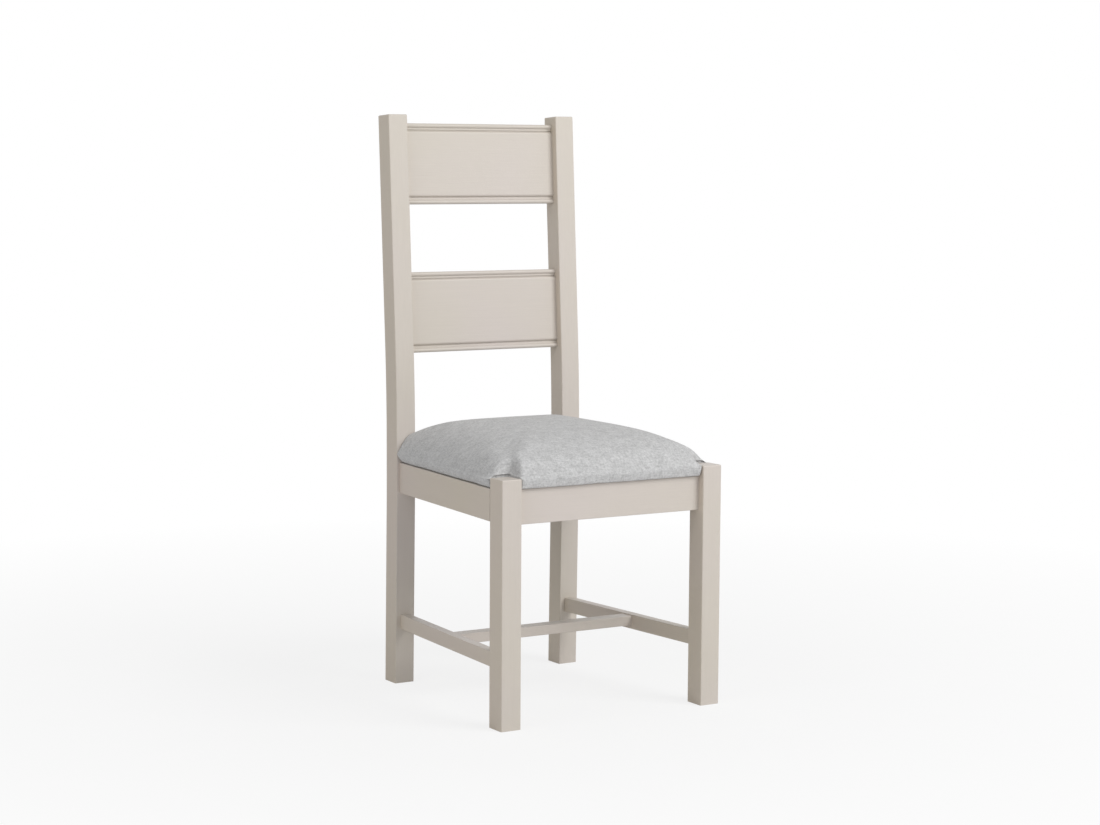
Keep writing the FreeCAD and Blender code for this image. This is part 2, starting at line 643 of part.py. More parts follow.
def screw_line(end, side):
    """Start and direction of a block's three screws: into the cross rail, the side rail and the seat."""
    _, cross, sideways, seat = block_places(end)
    inward = CORNERS[end][3]
    middle_z = f"({BLOCK_TOP} - dims.block_height / 2)"
    rail_y = CORNERS[end][0]
    back_off = f"(dims.block_screw_length - {SCREW_BITE})"
    return [
        ((f"{side} * {cross[0]}", f"{rail_y} + {inward} * {back_off}", middle_z), (0, -inward, 0)),
        ((f"{side} * ({rail_in(sideways[1])} - {back_off})", sideways[1], middle_z), (side, 0, 0)),
        ((f"{side} * {seat[0]}", seat[1], f"({BLOCK_TOP} - dims.block_height)"), (0, 0, 1)),
    ]


def screw_bores(body, end, side, chosen, origin=("0", "0", "0")):
    """Holes in a body with its own origin, along the chosen screws of one corner."""
    for index in chosen:
        start, axis = screw_line(end, side)[index]
        length = "dims.seat_screw_length" if index == 2 else "dims.block_screw_length"
        before = "dims.block_leg" if index < 2 else "dims.block_height"
        begin = [f"{at} - {step} * {before} - {zero}" for at, step, zero in zip(start, axis, origin)]
        name = f"{body.Name}_{end}_{'left' if side < 0 else 'right'}_screw_{index}"
        bore(body, name, begin, axis, SHANK_HOLE, f"{before} + {length} + dims.mortise_end_gap")


def corner_block(label, end, side):
    """A glued and screwed corner block, bored for two rail screws and one seat screw."""
    body = new_body(label)
    outline = block_places(end)[0]
    plan = new_sketch(body, f"{label}_plan", "XY_Plane", f"{BLOCK_TOP} - dims.block_height")
    draw(plan, polygon([(f"{side} * {x}", y) for x, y in outline]))
    pad(body, plan, "dims.block_height")
    screw_bores(body, end, side, (0, 1, 2))
    for index, (start, axis) in enumerate(screw_line(end, side)[:2]):
        begin = [f"{place} - {step} * dims.block_leg" for place, step in zip(start, axis)]
        depth = "dims.block_leg + dims.screw_head_height"
        bore(body, f"{label}_head_{index}", begin, axis, HEAD_HOLE, depth)
    start, axis = screw_line(end, side)[2]
    bore(body, f"{label}_seat_head", start, axis, HEAD_HOLE, "dims.screw_head_height")
    return body


# Seat pad: outlines that shrink as they rise, worked out in plain numbers from the sheet


def seat_side(y, inset):
    """Half the width of the seat at depth y, less an inset square to its side."""
    outer_front, outer_back = number(RAIL_OUT_FRONT), number(RAIL_OUT_BACK)
    slope = (outer_front - outer_back) / number(SIDE_SPAN)
    return outer_front - slope * (y - number(LEG_BACK_Y)) - inset * math.hypot(1, slope)


def rounded(points, radii, z):
    """A closed level wire through rounded corners."""
    edges = []
    joints = []
    for index, corner in enumerate(points):
        before, after = points[index - 1], points[(index + 1) % len(points)]
        to_before = (before - corner).normalize()
        to_after = (after - corner).normalize()
        half_turn = to_before.getAngle(to_after) / 2
        run = radii[index] / math.tan(half_turn)
        bisector = (to_before + to_after).normalize()
        centre = corner + bisector * (radii[index] / math.sin(half_turn))
        joints.append((corner + to_before * run, centre - bisector * radii[index], corner + to_after * run))
    up = Vector(0, 0, z)
    for index, (start, middle, end) in enumerate(joints):
        edges.append(Part.Arc(start + up, middle + up, end + up).toShape())
        following = joints[(index + 1) % len(joints)][0]
        edges.append(Part.LineSegment(end + up, following + up).toShape())
    return Part.Wire(edges)


def seat_corners(near, far, inset):
    """The four corners of a level outline between two depths, inset square to the sides."""
    return [
        Vector(-seat_side(near, inset), near), Vector(seat_side(near, inset), near),
        Vector(seat_side(far, inset), far), Vector(-seat_side(far, inset), far),
    ]


def pad_corners(inset):
    """The corners of the pad's outline, drawn in by an inset."""
    near = number(f"{FRONT_Y} + dims.pad_front_inset") + inset
    return seat_corners(near, number(f"{POST_Y} + dims.pad_back_reach") - inset, inset)


def frame_corners(inset):
    """The corners of the opening between the four rails, drawn in by an inset."""
    near = number(f"{FRONT_RAIL_Y} + dims.rail_thickness") + inset
    return seat_corners(near, number(BACK_RAIL_Y) - inset, number("dims.rail_thickness") + inset)


# Corner radii of the pad: as shares of a leg's and a post's width, how much they grow with the inset,
# and the most that they may be as a share of the outline
FRONT_CORNER = 0.8
BACK_CORNER = 0.4
CORNER_GROWTH = 1.1
LARGEST_CORNER = 0.46

# Outlines that the pad's top is lofted through, and how much closer together they are near its edge
PAD_LEVELS = 10
LEVEL_CROWDING = 1.7


def pad_wire(inset, z):
    """The outline of the pad at a height, drawn in by an inset, its corners rounder as it shrinks."""
    points = pad_corners(inset)
    room = LARGEST_CORNER * min(points[2].y - points[1].y, 2 * points[2].x)
    front_radius = min(FRONT_CORNER * number("dims.leg_width") + CORNER_GROWTH * inset, room)
    back_radius = min(BACK_CORNER * number("dims.post_width") + CORNER_GROWTH * inset, room)
    return rounded(points, [front_radius, front_radius, back_radius, back_radius], z)


def pad_form(inward, base, drop):
    """The crowned form of the pad, drawn in all round by a skin and lowered by a drop."""
    rise, crown, falloff = number("dims.pad_rise"), number("dims.pad_crown"), number("dims.pad_falloff")
    roundness, top_inset = number("dims.pad_roundness"), number("dims.pad_top_inset")
    roll = number("dims.rail_top + dims.pad_roll")
    wires = [pad_wire(inward + number("dims.pad_tuck_in"), base), pad_wire(inward, max(roll, base + 1))]
    for level in range(1, PAD_LEVELS + 1):
        inset = top_inset * (level / PAD_LEVELS) ** LEVEL_CROWDING
        height = rise * (1 - math.exp(-((inset / falloff) ** roundness)))
        height += crown * (1 - (1 - inset / top_inset) ** 2)
        wires.append(pad_wire(inset + inward, roll + height - drop))
    return Part.makeLoft(wires, True, False)


def leg_notches(gap, low, high):
    """Blocks round the tops of the legs and the posts, grown by a gap on every side."""
    half_leg, half_post = number("dims.leg_width") / 2 + gap, number("dims.post_width") / 2 + gap
    far = number("dims.seat_depth")
    front_y, back_y = number(LEG_BACK_Y) + gap, number(POST_Y) - gap
    shapes = []
    for side in (-1, 1):
        at_leg = Vector(side * number(LEG_X) - half_leg, front_y - far, low)
        at_post = Vector(side * number(POST_X) - half_post, back_y, low)
        shapes.append(Part.makeBox(2 * half_leg, far, high - low, at_leg))
        shapes.append(Part.makeBox(2 * half_post, far, high - low, at_post))
    return shapes


def leg_tucks(gap):
    """Flared forms over the front legs, where the cover is drawn down to their tops."""
    half_leg = number("dims.leg_width") / 2 + gap
    width, rise = number("dims.tuck_width"), number("dims.tuck_rise")
    low, back = number("dims.leg_height") + gap, number(LEG_BACK_Y) + gap
    front = number(FRONT_Y) - width
    forms = []
    for side in (-1, 1):
        wires = []
        for grow, z in ((0, low), (width, low + rise)):
            inner = number(LEG_X) - half_leg - grow
            outer = number(LEG_X) + half_leg + width
            xs = sorted((side * inner, side * outer))
            corners = [
                Vector(xs[0], front), Vector(xs[1], front),
                Vector(xs[1], back + grow), Vector(xs[0], back + grow),
            ]
            radii = [1, 1, 1 + grow, 1] if side < 0 else [1, 1, 1, 1 + grow]
            wires.append(rounded(corners, radii, z))
        forms.append(Part.makeLoft(wires, True, True))
    return forms


def seat_blank(inset, low, high, gap):
    """A level layer of the seat, inset from the pad's outline and notched round the legs."""
    layer = Part.Face(pad_wire(inset, low)).extrude(Vector(0, 0, high - low))
    return layer.cut(leg_notches(gap, low - 1, high + 1))


def shape_feature(label, shape):
    """A sub-part whose shape is worked out from the sheet."""
    feature = doc.addObject("Part::Feature", label)
    feature.Label = label
    feature.Shape = shape
    feature.Placement = FreeCAD.Placement(Vector(), Rotation())
    return feature


BOARD_LOW = "(dims.rail_top + dims.hem_thickness)"
BOARD_HIGH = f"({BOARD_LOW} + dims.board_thickness)"


def cover_form(inward, base, drop):
    """The form of the pad drawn in by a skin, notched round legs and posts and tucked at the legs."""
    gap = number("dims.pad_leg_gap") + inward
    high = number("dims.leg_height + dims.pad_rise + dims.pad_crown")
    return pad_form(inward, base, drop).cut(leg_notches(gap, base - 1, high) + leg_tucks(gap))


def seat_cover():
    """The fabric cover: a crowned skin over foam and board, its hem turned under the board."""
    skin, hem = number("dims.cover_thickness"), number("dims.hem_width")
    base, low = number("dims.rail_top"), number(BOARD_LOW)
    opening = seat_blank(hem, base - 1, low + 1, number("dims.pad_leg_gap") + hem)
    skin_form = cover_form(0, base, 0).cut([cover_form(skin, low, skin), opening])
    return shape_feature("seat_cover", skin_form.cut(seat_screw_holes() + staple_holes(STAPLE_ROWS)))


def seat_foam():
    """The foam between board and cover."""
    inward, low = number("dims.cover_thickness + dims.soft_gap"), number(BOARD_HIGH)
    under = Part.makeBox(2000, 2000, low, Vector(-1000, -1000, 0))
    return shape_feature("seat_foam", cover_form(inward, number(BOARD_LOW), inward).cut(under))


def seat_board():
    """The plywood board, bored for the seat screws and the staples."""
    gap = number("dims.pad_leg_gap + dims.cover_thickness")
    shape = seat_blank(number("dims.board_inset"), number(BOARD_LOW), number(BOARD_HIGH), gap)
    return shape_feature("seat_board", shape.cut(seat_screw_holes() + staple_holes(STAPLE_ROWS)))


def seat_dust_cover():
    """The cloth that closes the underside of the seat, inside the rails."""
    gap, thickness = number("dims.dust_cover_gap"), number("dims.dust_cover_thickness")
    low = number("dims.rail_top - dims.staple_wire") - thickness
    corners = [corner + Vector(0, 0, low) for corner in frame_corners(gap)]
    cloth = Part.Face(Part.makePolygon(corners + corners[:1])).extrude(Vector(0, 0, thickness))
    cloth = cloth.cut(leg_notches(gap, low - 1, low + 2))
    return shape_feature("seat_dust_cover", cloth.cut(seat_screw_holes() + staple_holes(STAPLE_ROWS[1:])))


# Screws and staples


def screw(length):
    """A countersunk screw along +Z, its head at the origin."""
    radius, head_radius = number("dims.screw_diameter") / 2, number("dims.screw_head_diameter") / 2
    head, point = number("dims.screw_head_height"), 2 * radius
    shank = Part.makeCylinder(radius, length - head - point, Vector(0, 0, head))
    tip = Part.makeCone(radius, radius / 4, point, Vector(0, 0, length - point))
    return Part.makeCone(head_radius, radius, head).fuse([shank, tip]).removeSplitter()


def screw_group(label, length, chosen):
    """All the screws of one kind, as separate solids in one group."""
    solids = []
    for end in CORNERS:
        for side in (-1, 1):
            for start, axis in (screw_line(end, side)[index] for index in chosen):
                item = screw(length)
                place = Vector(*(number(value) for value in start))
                item.Placement = FreeCAD.Placement(place, Rotation(Vector(0, 0, 1), Vector(*axis)))
                solids.append(item)
    return shape_feature(label, Part.makeCompound(solids))


def seat_screw_holes():
    """Cylinders round the seat screws, for the layers of the seat."""
    holes = []
    for end in CORNERS:
        for side in (-1, 1):
            start = Vector(*(number(value) for value in screw_line(end, side)[2][0]))
            length = number("dims.seat_screw_length + dims.mortise_end_gap")
            holes.append(Part.makeCylinder(number(SHANK_HOLE) / 2, length, start))
    return holes


# Rows of staples: the corners that they run between and the top of their crowns
STAPLE_ROWS = [
    (pad_corners(number("dims.cover_staple_inset")), number("dims.rail_top")),
    (
        frame_corners(number("dims.dust_cover_gap + dims.dust_staple_inset")),
        number("dims.rail_top - dims.staple_wire - dims.dust_cover_thickness"),
    ),
]


def staple_places(corners, z):
    """Placements of staples in rows between the corners, their crowns along the rows."""
    places = []
    row_end = number("dims.staple_row_end")
    for start, end in zip(corners, corners[1:] + corners[:1]):
        way = (end - start).normalize()
        length = (end - start).Length - 2 * row_end
        count = max(1, math.ceil(length / number("dims.staple_pitch")))
        for index in range(count):
            at = start + way * (row_end + length * (index + 0.5) / count) + Vector(0, 0, z)
            places.append(FreeCAD.Placement(at, Rotation(Vector(1, 0, 0), way)))
    return places


def staple_legs(grow, length):
    """The two legs of a staple, grown for a hole."""
    wire, crown = number("dims.staple_wire"), number("dims.staple_crown")
    thick = wire + 2 * grow
    return [
        Part.makeBox(thick, thick, length, Vector(x - thick / 2, -thick / 2, 0))
        for x in (wire / 2 - crown / 2, crown / 2 - wire / 2)
    ]


def staples(label, row):
    """The staples of one layer, as separate solids in one group."""
    wire, crown = number("dims.staple_wire"), number("dims.staple_crown")
    bridge = Part.makeBox(crown, wire, wire, Vector(-crown / 2, -wire / 2, -wire))
    shape = bridge.fuse(staple_legs(0, number("dims.staple_leg"))).removeSplitter()
    solids = []
    for place in staple_places(*row):
        item = shape.copy()
        item.Placement = place
        solids.append(item)
    return shape_feature(label, Part.makeCompound(solids))


def staple_holes(rows):
    """Holes round the legs of the staples of some rows."""
    length = number("dims.staple_leg + dims.mortise_end_gap")
    holes = []
    for row in rows:
        for place in staple_places(*row):
            for hole in staple_legs(number("dims.staple_clearance"), length):
                hole.Placement = place.multiply(hole.Placement)
                holes.append(hole)
    return holes


front_span = "(dims.front_width - 2 * dims.leg_width)"
back_span = "(dims.back_width - 2 * dims.post_width)"
pieces = [
    front_leg("front_leg_left", -1),
    front_leg("front_leg_right", 1),
    back_post("back_post_left", -1),
    back_post("back_post_right", 1),
    cross_rail("front_seat_rail", "front", front_span, FRONT_RAIL_Y, "dims.front_rail_height",
               "dims.front_tenon_length"),
    cross_rail("back_seat_rail", "side", back_span, BACK_RAIL_Y, "dims.side_rail_height",
               "dims.back_tenon_length"),
    side_rail("side_seat_rail_left", -1),
    side_rail("side_seat_rail_right", 1),
    side_stretcher("side_stretcher_left", -1),
    side_stretcher("side_stretcher_right", 1),
    centre_stretcher("centre_stretcher"),
    back_slat("top_slat", TOP_SLAT),
    back_slat("lower_slat", LOWER_SLAT),
]
for end in CORNERS:
    for side, word in ((-1, "left"), (1, "right")):
        pieces.append(corner_block(f"corner_block_{end}_{word}", end, side))
pieces += [
    screw_group("corner_block_screws", number("dims.block_screw_length"), (0, 1)),
    screw_group("seat_screws", number("dims.seat_screw_length"), (2,)),
    seat_board(),
    seat_foam(),
    seat_cover(),
    seat_dust_cover(),
    staples("cover_staples", STAPLE_ROWS[0]),
    staples("dust_cover_staples", STAPLE_ROWS[1]),
]
doc.recompute()

faults = [item.Name for item in doc.Objects if {"Invalid", "Error"} & set(item.State)]
for piece in pieces:
    if piece.Shape.isNull() or not piece.Shape.isValid():
        faults.append(piece.Label)
if faults:
    raise RuntimeError("failed: " + ", ".join(faults))

os.makedirs("parts", exist_ok=True)
for piece in pieces:
    piece.Shape.exportStep(f"parts/{piece.Label}.step")
    box = piece.Shape.BoundBox
    print(f"{piece.Label}: {len(piece.Shape.Solids)} solid(s), {piece.Shape.Volume / 1000:.1f} cm3, "
          f"z {box.ZMin:.1f} to {box.ZMax:.1f}")
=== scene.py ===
"""Looks for a painted ladderback dining chair.

Satin paint on the frame, an upholstered seat pad, bare wood and a dust cover below it, and a stage.
"""

import math

import bmesh
import bpy
import numpy as np
from bpy.props import FloatProperty, FloatVectorProperty, IntProperty, PointerProperty
from mathutils import Matrix, Vector


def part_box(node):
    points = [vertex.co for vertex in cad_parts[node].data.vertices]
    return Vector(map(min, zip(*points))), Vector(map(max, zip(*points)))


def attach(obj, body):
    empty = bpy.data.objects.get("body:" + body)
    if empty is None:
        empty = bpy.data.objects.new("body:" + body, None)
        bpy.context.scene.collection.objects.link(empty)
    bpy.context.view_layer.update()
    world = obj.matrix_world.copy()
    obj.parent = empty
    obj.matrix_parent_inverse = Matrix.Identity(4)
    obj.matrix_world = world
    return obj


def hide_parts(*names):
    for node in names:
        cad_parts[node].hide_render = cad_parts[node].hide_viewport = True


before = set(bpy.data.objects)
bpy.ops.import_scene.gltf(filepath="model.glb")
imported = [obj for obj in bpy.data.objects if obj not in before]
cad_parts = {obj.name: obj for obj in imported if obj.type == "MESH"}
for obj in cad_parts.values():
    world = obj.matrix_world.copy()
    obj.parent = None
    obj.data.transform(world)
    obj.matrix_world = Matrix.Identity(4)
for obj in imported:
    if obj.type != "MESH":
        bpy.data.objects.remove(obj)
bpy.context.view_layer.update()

bl_info = {
    "name": "Ladderback Chair Looks",
    "version": (1, 0, 0),
    "blender": (4, 5, 0),
    "location": "View3D > Sidebar > Chair",
    "description": "Finishes, seat pad and stage for a painted ladderback chair",
    "category": "Object",
}

LEG_LOW, LEG_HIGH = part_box("front_leg_right")
POST_LOW, POST_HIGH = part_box("back_post_right")
RAIL_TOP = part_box("front_seat_rail")[1].z
BOARD_LOW, BOARD_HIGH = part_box("seat_board")


class ChairPaint(bpy.types.PropertyGroup):
    """Paint of the wooden frame."""

    cool_tone: FloatVectorProperty(
        name="Cool tone", description="Cooler of the two tones that the paint drifts between",
        subtype="COLOR", default=(0.655, 0.594, 0.552),
    )
    warm_tone: FloatVectorProperty(
        name="Warm tone", description="Warmer of the two tones that the paint drifts between",
        subtype="COLOR", default=(0.640, 0.590, 0.512),
    )
    # Painted shade: a darker, warmer tint on the faces that look to the sides, for how those faces
    # are lit
    painted_side_shade: FloatVectorProperty(
        name="Side tint", description="How the paint is tinted on the faces at the sides of a piece",
        subtype="COLOR", default=(1.0, 0.97, 0.92),
    )
    roughness: FloatProperty(
        name="Roughness", description="Satin gloss of the paint",
        subtype="FACTOR", default=0.42, min=0.0, max=1.0,
    )
    grain_depth: FloatProperty(
        name="Grain depth", description="Depth of the grain that shows through the paint",
        unit="LENGTH", default=0.00025, min=0.0,
    )


class ChairFabric(bpy.types.PropertyGroup):
    """Heathered fabric of the seat."""

    light_yarn: FloatVectorProperty(
        name="Light yarn", description="Lightest fibres of the yarn",
        subtype="COLOR", default=(0.805, 0.805, 0.805),
    )
    dark_yarn: FloatVectorProperty(
        name="Dark yarn", description="Darkest fibres of the yarn",
        subtype="COLOR", default=(0.355, 0.355, 0.355),
    )
    thread: FloatProperty(
        name="Thread", description="Distance between threads of the weave",
        unit="LENGTH", default=0.0011, min=0.0003,
    )
    relief: FloatProperty(
        name="Relief", description="Height of the threads", unit="LENGTH", default=0.0004, min=0.0,
    )


class ChairSeat(bpy.types.PropertyGroup):
    """Form of the upholstered seat pad."""

    rise: FloatProperty(
        name="Rise", description="Rise of the pad's sides over the rails",
        unit="LENGTH", default=0.0911,
    )
    falloff: FloatProperty(
        name="Falloff", description="Distance from the edge over which the pad rises",
        unit="LENGTH", default=0.0389,
    )
    roundness: FloatProperty(
        name="Roundness", description="How sharply the sides turn into the top",
        default=0.647, min=0.3, max=2.0,
    )
    crown: FloatProperty(
        name="Crown", description="Further rise in the middle", unit="LENGTH", default=0.0042,
    )
    back_lift: FloatProperty(
        name="Back lift", default=0.045,
        description="How much higher the back stands than the middle, as a share of the rise",
    )
    bulge: FloatProperty(
        name="Bulge", description="How far the pad's sides stand out from the side rails",
        unit="LENGTH", default=0.0068, min=0.0,
    )
    leg_gap: FloatProperty(
        name="Leg gap", description="Between the pad and the legs and posts",
        unit="LENGTH", default=0.0015,
    )
    front_inset: FloatProperty(
        name="Front inset", description="Pad behind the front faces of the legs",
        unit="LENGTH", default=0.0015,
    )
    back_reach: FloatProperty(
        name="Back reach", description="Pad behind the front faces of the posts",
        unit="LENGTH", default=0.029,
    )
    rail_inset: FloatProperty(
        name="Rail inset", description="Side of the pad inside the outer face of a post",
        unit="LENGTH", default=0.006,
    )
    leg_fullness: FloatProperty(
        name="Leg fullness", unit="LENGTH", default=0.0260, min=0.0,
        description="How much fuller the fabric stands at the front legs than at the edges",
    )
    corner_softness: FloatProperty(
        name="Corner softness", description="Roundness of the ridges beside the front legs",
        unit="LENGTH", default=0.016, min=0.001,
    )
    tuck_height: FloatProperty(
        name="Tuck height", unit="LENGTH", default=0.0035,
        description="Fabric over the top of a front leg, where it is tucked in round it",
    )
    tuck_width: FloatProperty(
        name="Tuck width", description="How far from a front leg the fabric dips towards it",
        unit="LENGTH", default=0.0065, min=0.001,
    )
    leg_hollow: FloatProperty(
        name="Leg hollow", description="Hollow behind the top of a front leg, under the fabric",
        unit="LENGTH", default=0.0045, min=0.0,
    )
    slack: FloatProperty(
        name="Slack", description="How far the pad is drawn in before it is inflated",
        unit="LENGTH", default=0.0012,
    )
    pressure: FloatProperty(
        name="Pressure", description="Pressure of the foam under the fabric", default=4.0, min=0.0,
    )
    swell: FloatProperty(
        name="Swell", description="Most that a point of the fabric may move",
        unit="LENGTH", default=0.0012, min=0.0,
    )
    frames: IntProperty(
        name="Frames", description="Length of the simulation", default=20, min=2, max=60,
    )


class ChairStage(bpy.types.PropertyGroup):
    """Camera, lamps and floor."""

    camera_place: FloatVectorProperty(
        name="Camera", description="Place of the camera", subtype="TRANSLATION", unit="LENGTH",
        default=(-2.3372, -3.8486, 0.9854),
    )
    lens: FloatProperty(
        name="Lens", description="Focal length of the camera", unit="CAMERA", default=81.706,
    )
    key_power: FloatProperty(
        name="Key power", description="Power of the large lamp in front",
        unit="POWER", default=116.0,
    )
    fill_power: FloatProperty(
        name="Fill power", description="Power of the lamp on the shaded side",
        unit="POWER", default=25.0,
    )
    ambient: FloatProperty(
        name="Ambient", description="Light of the white room on the chair", default=0.42, min=0.0,
    )


# Node helpers


# Where the Mix node keeps its two colours and the mixed one
MIX_FIRST, MIX_SECOND, MIX_RESULT = 6, 7, 2


def is_socket(item):
    """Whether an argument is a socket and not a number or vector."""
    return isinstance(item, bpy.types.NodeSocket)


def feed(tree, socket, item):
    """Link a socket or set a plain value."""
    if is_socket(item):
        tree.links.new(item, socket)
    else:
        socket.default_value = item


def fed_node(tree, kind, items, **settings):
    """A node with its settings, and its first sockets fed."""
    node = tree.nodes.new(kind)
    for name, setting in settings.items():
        setattr(node, name, setting)
    for socket, item in zip(node.inputs, items):
        feed(tree, socket, item)
    return node


def maths(tree, operation, *items):
    """A Math node's result."""
    return fed_node(tree, "ShaderNodeMath", items, operation=operation).outputs[0]


def added(tree, first, second, third):
    """The sum of three values."""
    return maths(tree, "ADD", maths(tree, "ADD", first, second), third)


def weighted(tree, items, shares):
    """The sum of two values, each times its share."""
    second = maths(tree, "MULTIPLY", items[1], shares[1])
    return maths(tree, "MULTIPLY_ADD", items[0], shares[0], second)


def vector_maths(tree, operation, *items, result="Vector"):
    """A Vector Math node's result, which is a vector or a value."""
    return fed_node(tree, "ShaderNodeVectorMath", items, operation=operation).outputs[result]


def combine(tree, x, y, z):
    """A vector from three values."""
    return fed_node(tree, "ShaderNodeCombineXYZ", (x, y, z)).outputs[0]


def separate(tree, vector):
    """The three values of a vector."""
    return fed_node(tree, "ShaderNodeSeparateXYZ", (vector,)).outputs


def noise(tree, vector, scale, detail, roughness):
    """Smooth noise from 0 to 1."""
    node = tree.nodes.new("ShaderNodeTexNoise")
    feed(tree, node.inputs["Vector"], vector)
    feed(tree, node.inputs["Scale"], scale)
    node.inputs["Detail"].default_value = detail
    node.inputs["Roughness"].default_value = roughness
    return node.outputs[0]


def spread(tree, value, low, high, to_low=0.0, to_high=1.0):
    """A value stretched from one range to another, clamped."""
    items = (value, low, high, to_low, to_high)
    return fed_node(tree, "ShaderNodeMapRange", items).outputs[0]


def mix_colours(tree, factor, first, second, blend_type="MIX"):
    """Two colours mixed by a factor."""
    node = tree.nodes.new("ShaderNodeMix")
    node.data_type = "RGBA"
    node.blend_type = blend_type
    feed(tree, node.inputs[0], factor)
    for index, item in ((MIX_FIRST, first), (MIX_SECOND, second)):
        feed(tree, node.inputs[index], item if is_socket(item) else (*item, 1.0)[:4])
    return node.outputs[MIX_RESULT]


def surface_normal(tree):
    """The direction that each point of the surface faces."""
    return tree.nodes.new("ShaderNodeNewGeometry").outputs["Normal"]


def new_group(name, inputs, outputs):
    """An empty node group with named sockets, and its input and output nodes' sockets."""
    group = bpy.data.node_groups.new(name, "ShaderNodeTree")
    kinds = {"value": "NodeSocketFloat", "vector": "NodeSocketVector"}
    for way, sockets in (("INPUT", inputs), ("OUTPUT", outputs)):
        for label, kind in sockets:
            group.interface.new_socket(label, in_out=way, socket_type=kinds[kind])
    given = group.nodes.new("NodeGroupInput").outputs
    return group, given, group.nodes.new("NodeGroupOutput").inputs


# Wood fibres: scale, detail and roughness of the noise of their streaks and pores, detail and
# roughness of the drift, the ranges of noise that fill a mask, and the shares of streaks and pores
# in the height
STREAK_NOISE = (1.0, 5.0, 0.55)
PORE_NOISE = (3.1, 3.0, 0.7)
DRIFT_NOISE = (2.0, 0.45)
MASK_RANGE = (0.3, 0.7)
PORE_RANGE = (0.35, 0.6)
FIBRE_SHARES = (0.6, 0.4)


def grain_group():
    """Fibres of wood along the piece: their height, fine streaks, and a slow drift of tone."""
    group, given, result = new_group(
        "Wood Fibres",
        [("Vector", "vector"), ("Stretch", "vector"), ("Drift Scale", "value")],
        [("Height", "value"), ("Streaks", "value"), ("Drift", "value")],
    )
    stretched = vector_maths(group, "MULTIPLY", given["Vector"], given["Stretch"])
    streaks = noise(group, stretched, *STREAK_NOISE)
    pores = spread(group, noise(group, stretched, *PORE_NOISE), *PORE_RANGE)
    drift = noise(group, given["Vector"], given["Drift Scale"], *DRIFT_NOISE)
    group.links.new(weighted(group, (streaks, pores), FIBRE_SHARES), result["Height"])
    group.links.new(spread(group, streaks, *MASK_RANGE), result["Streaks"])
    group.links.new(spread(group, drift, *MASK_RANGE), result["Drift"])
    return group


# Weave: noise of the fibres in a thread, how far it is drawn out along the thread, and where the
# weft's noise starts so that it differs from the warp's
FIBRE_NOISE = (0.9, 3.0, 0.65)
FIBRE_DRAW = 0.12
WEFT_START = 7.3
# How wide the change is from the thread on top to the one below, and how sharp it is from faces that
# look one way to those that look another
CROSSING = 0.35
FACING_POWER = 6.0
# Uneven tones over many threads, larger clouds of them, and loose fibres
MOTTLE_NOISE = (260.0, 3.0, 0.6)
CLOUD_NOISE = (60.0, 2.0, 0.5)
FUZZ_NOISE = (2600.0, 2.0, 0.6)
# Shares of mottle and clouds in the mottle, and of threads and fuzz in the height
MOTTLE_SHARES = (0.7, 0.3)
HEIGHT_SHARES = (0.7, 0.5)
# The noise that fills a mask, and its middle
WEAVE_RANGE = (0.34, 0.66)
MIDDLE_TONE = 0.5


def crossed_threads(group, across, down):
    """A plain weave over two coordinates in threads: the tone of its fibres, and its bulge."""
    warp_place = combine(group, across, maths(group, "MULTIPLY", down, FIBRE_DRAW), 0.0)
    weft_place = combine(group, maths(group, "MULTIPLY", across, FIBRE_DRAW), down, WEFT_START)
    warp = noise(group, warp_place, *FIBRE_NOISE)
    weft = noise(group, weft_place, *FIBRE_NOISE)
    waves = [maths(group, "SINE", maths(group, "MULTIPLY", way, math.pi)) for way in (across, down)]
    over = maths(group, "MULTIPLY", *waves)
    on_top = spread(group, over, -CROSSING, CROSSING)
    tone = weighted(group, (warp, weft), (on_top, maths(group, "SUBTRACT", 1.0, on_top)))
    return tone, maths(group, "ABSOLUTE", over)


def weave_group():
    """A heathered plain weave on faces of any direction: tone of its fibres, mottle and height."""
    group, given, result = new_group(
        "Heathered Weave",
        [("Vector", "vector"), ("Normal", "vector"), ("Thread", "value")],
        [("Tone", "value"), ("Mottle", "value"), ("Height", "value")],
    )
    per_metre = maths(group, "DIVIDE", 1.0, given["Thread"])
    place = [maths(group, "MULTIPLY", way, per_metre) for way in separate(group, given["Vector"])]
    facing = separate(group, vector_maths(group, "ABSOLUTE", given["Normal"]))
    shares = [maths(group, "POWER", side, FACING_POWER) for side in facing]
    whole = added(group, *shares)
    tones, heights = [], []
    for share, (across, down) in zip(shares, ((1, 2), (0, 2), (0, 1))):
        weight = maths(group, "DIVIDE", share, whole)
        tone, bulge = crossed_threads(group, place[across], place[down])
        tones.append(maths(group, "MULTIPLY", tone, weight))
        heights.append(maths(group, "MULTIPLY", bulge, weight))

    # Blended directions lose contrast on a sloping face, and this gives it back
    squared = added(group, *(maths(group, "MULTIPLY", share, share) for share in shares))
    regained = maths(group, "DIVIDE", whole, maths(group, "SQRT", squared))
    tone = maths(group, "SUBTRACT", added(group, *tones), MIDDLE_TONE)
    tone = maths(group, "ADD", maths(group, "MULTIPLY", tone, regained), MIDDLE_TONE)

    mottle = noise(group, given["Vector"], *MOTTLE_NOISE)
    clouds = noise(group, given["Vector"], *CLOUD_NOISE)
    fuzz = noise(group, given["Vector"], *FUZZ_NOISE)
    mottled = weighted(group, (mottle, clouds), MOTTLE_SHARES)
    height = weighted(group, (added(group, *heights), fuzz), HEIGHT_SHARES)
    group.links.new(spread(group, tone, *WEAVE_RANGE), result["Tone"])
    group.links.new(spread(group, mottled, *WEAVE_RANGE), result["Mottle"])
    group.links.new(height, result["Height"])
    return group


GROUPS = {}


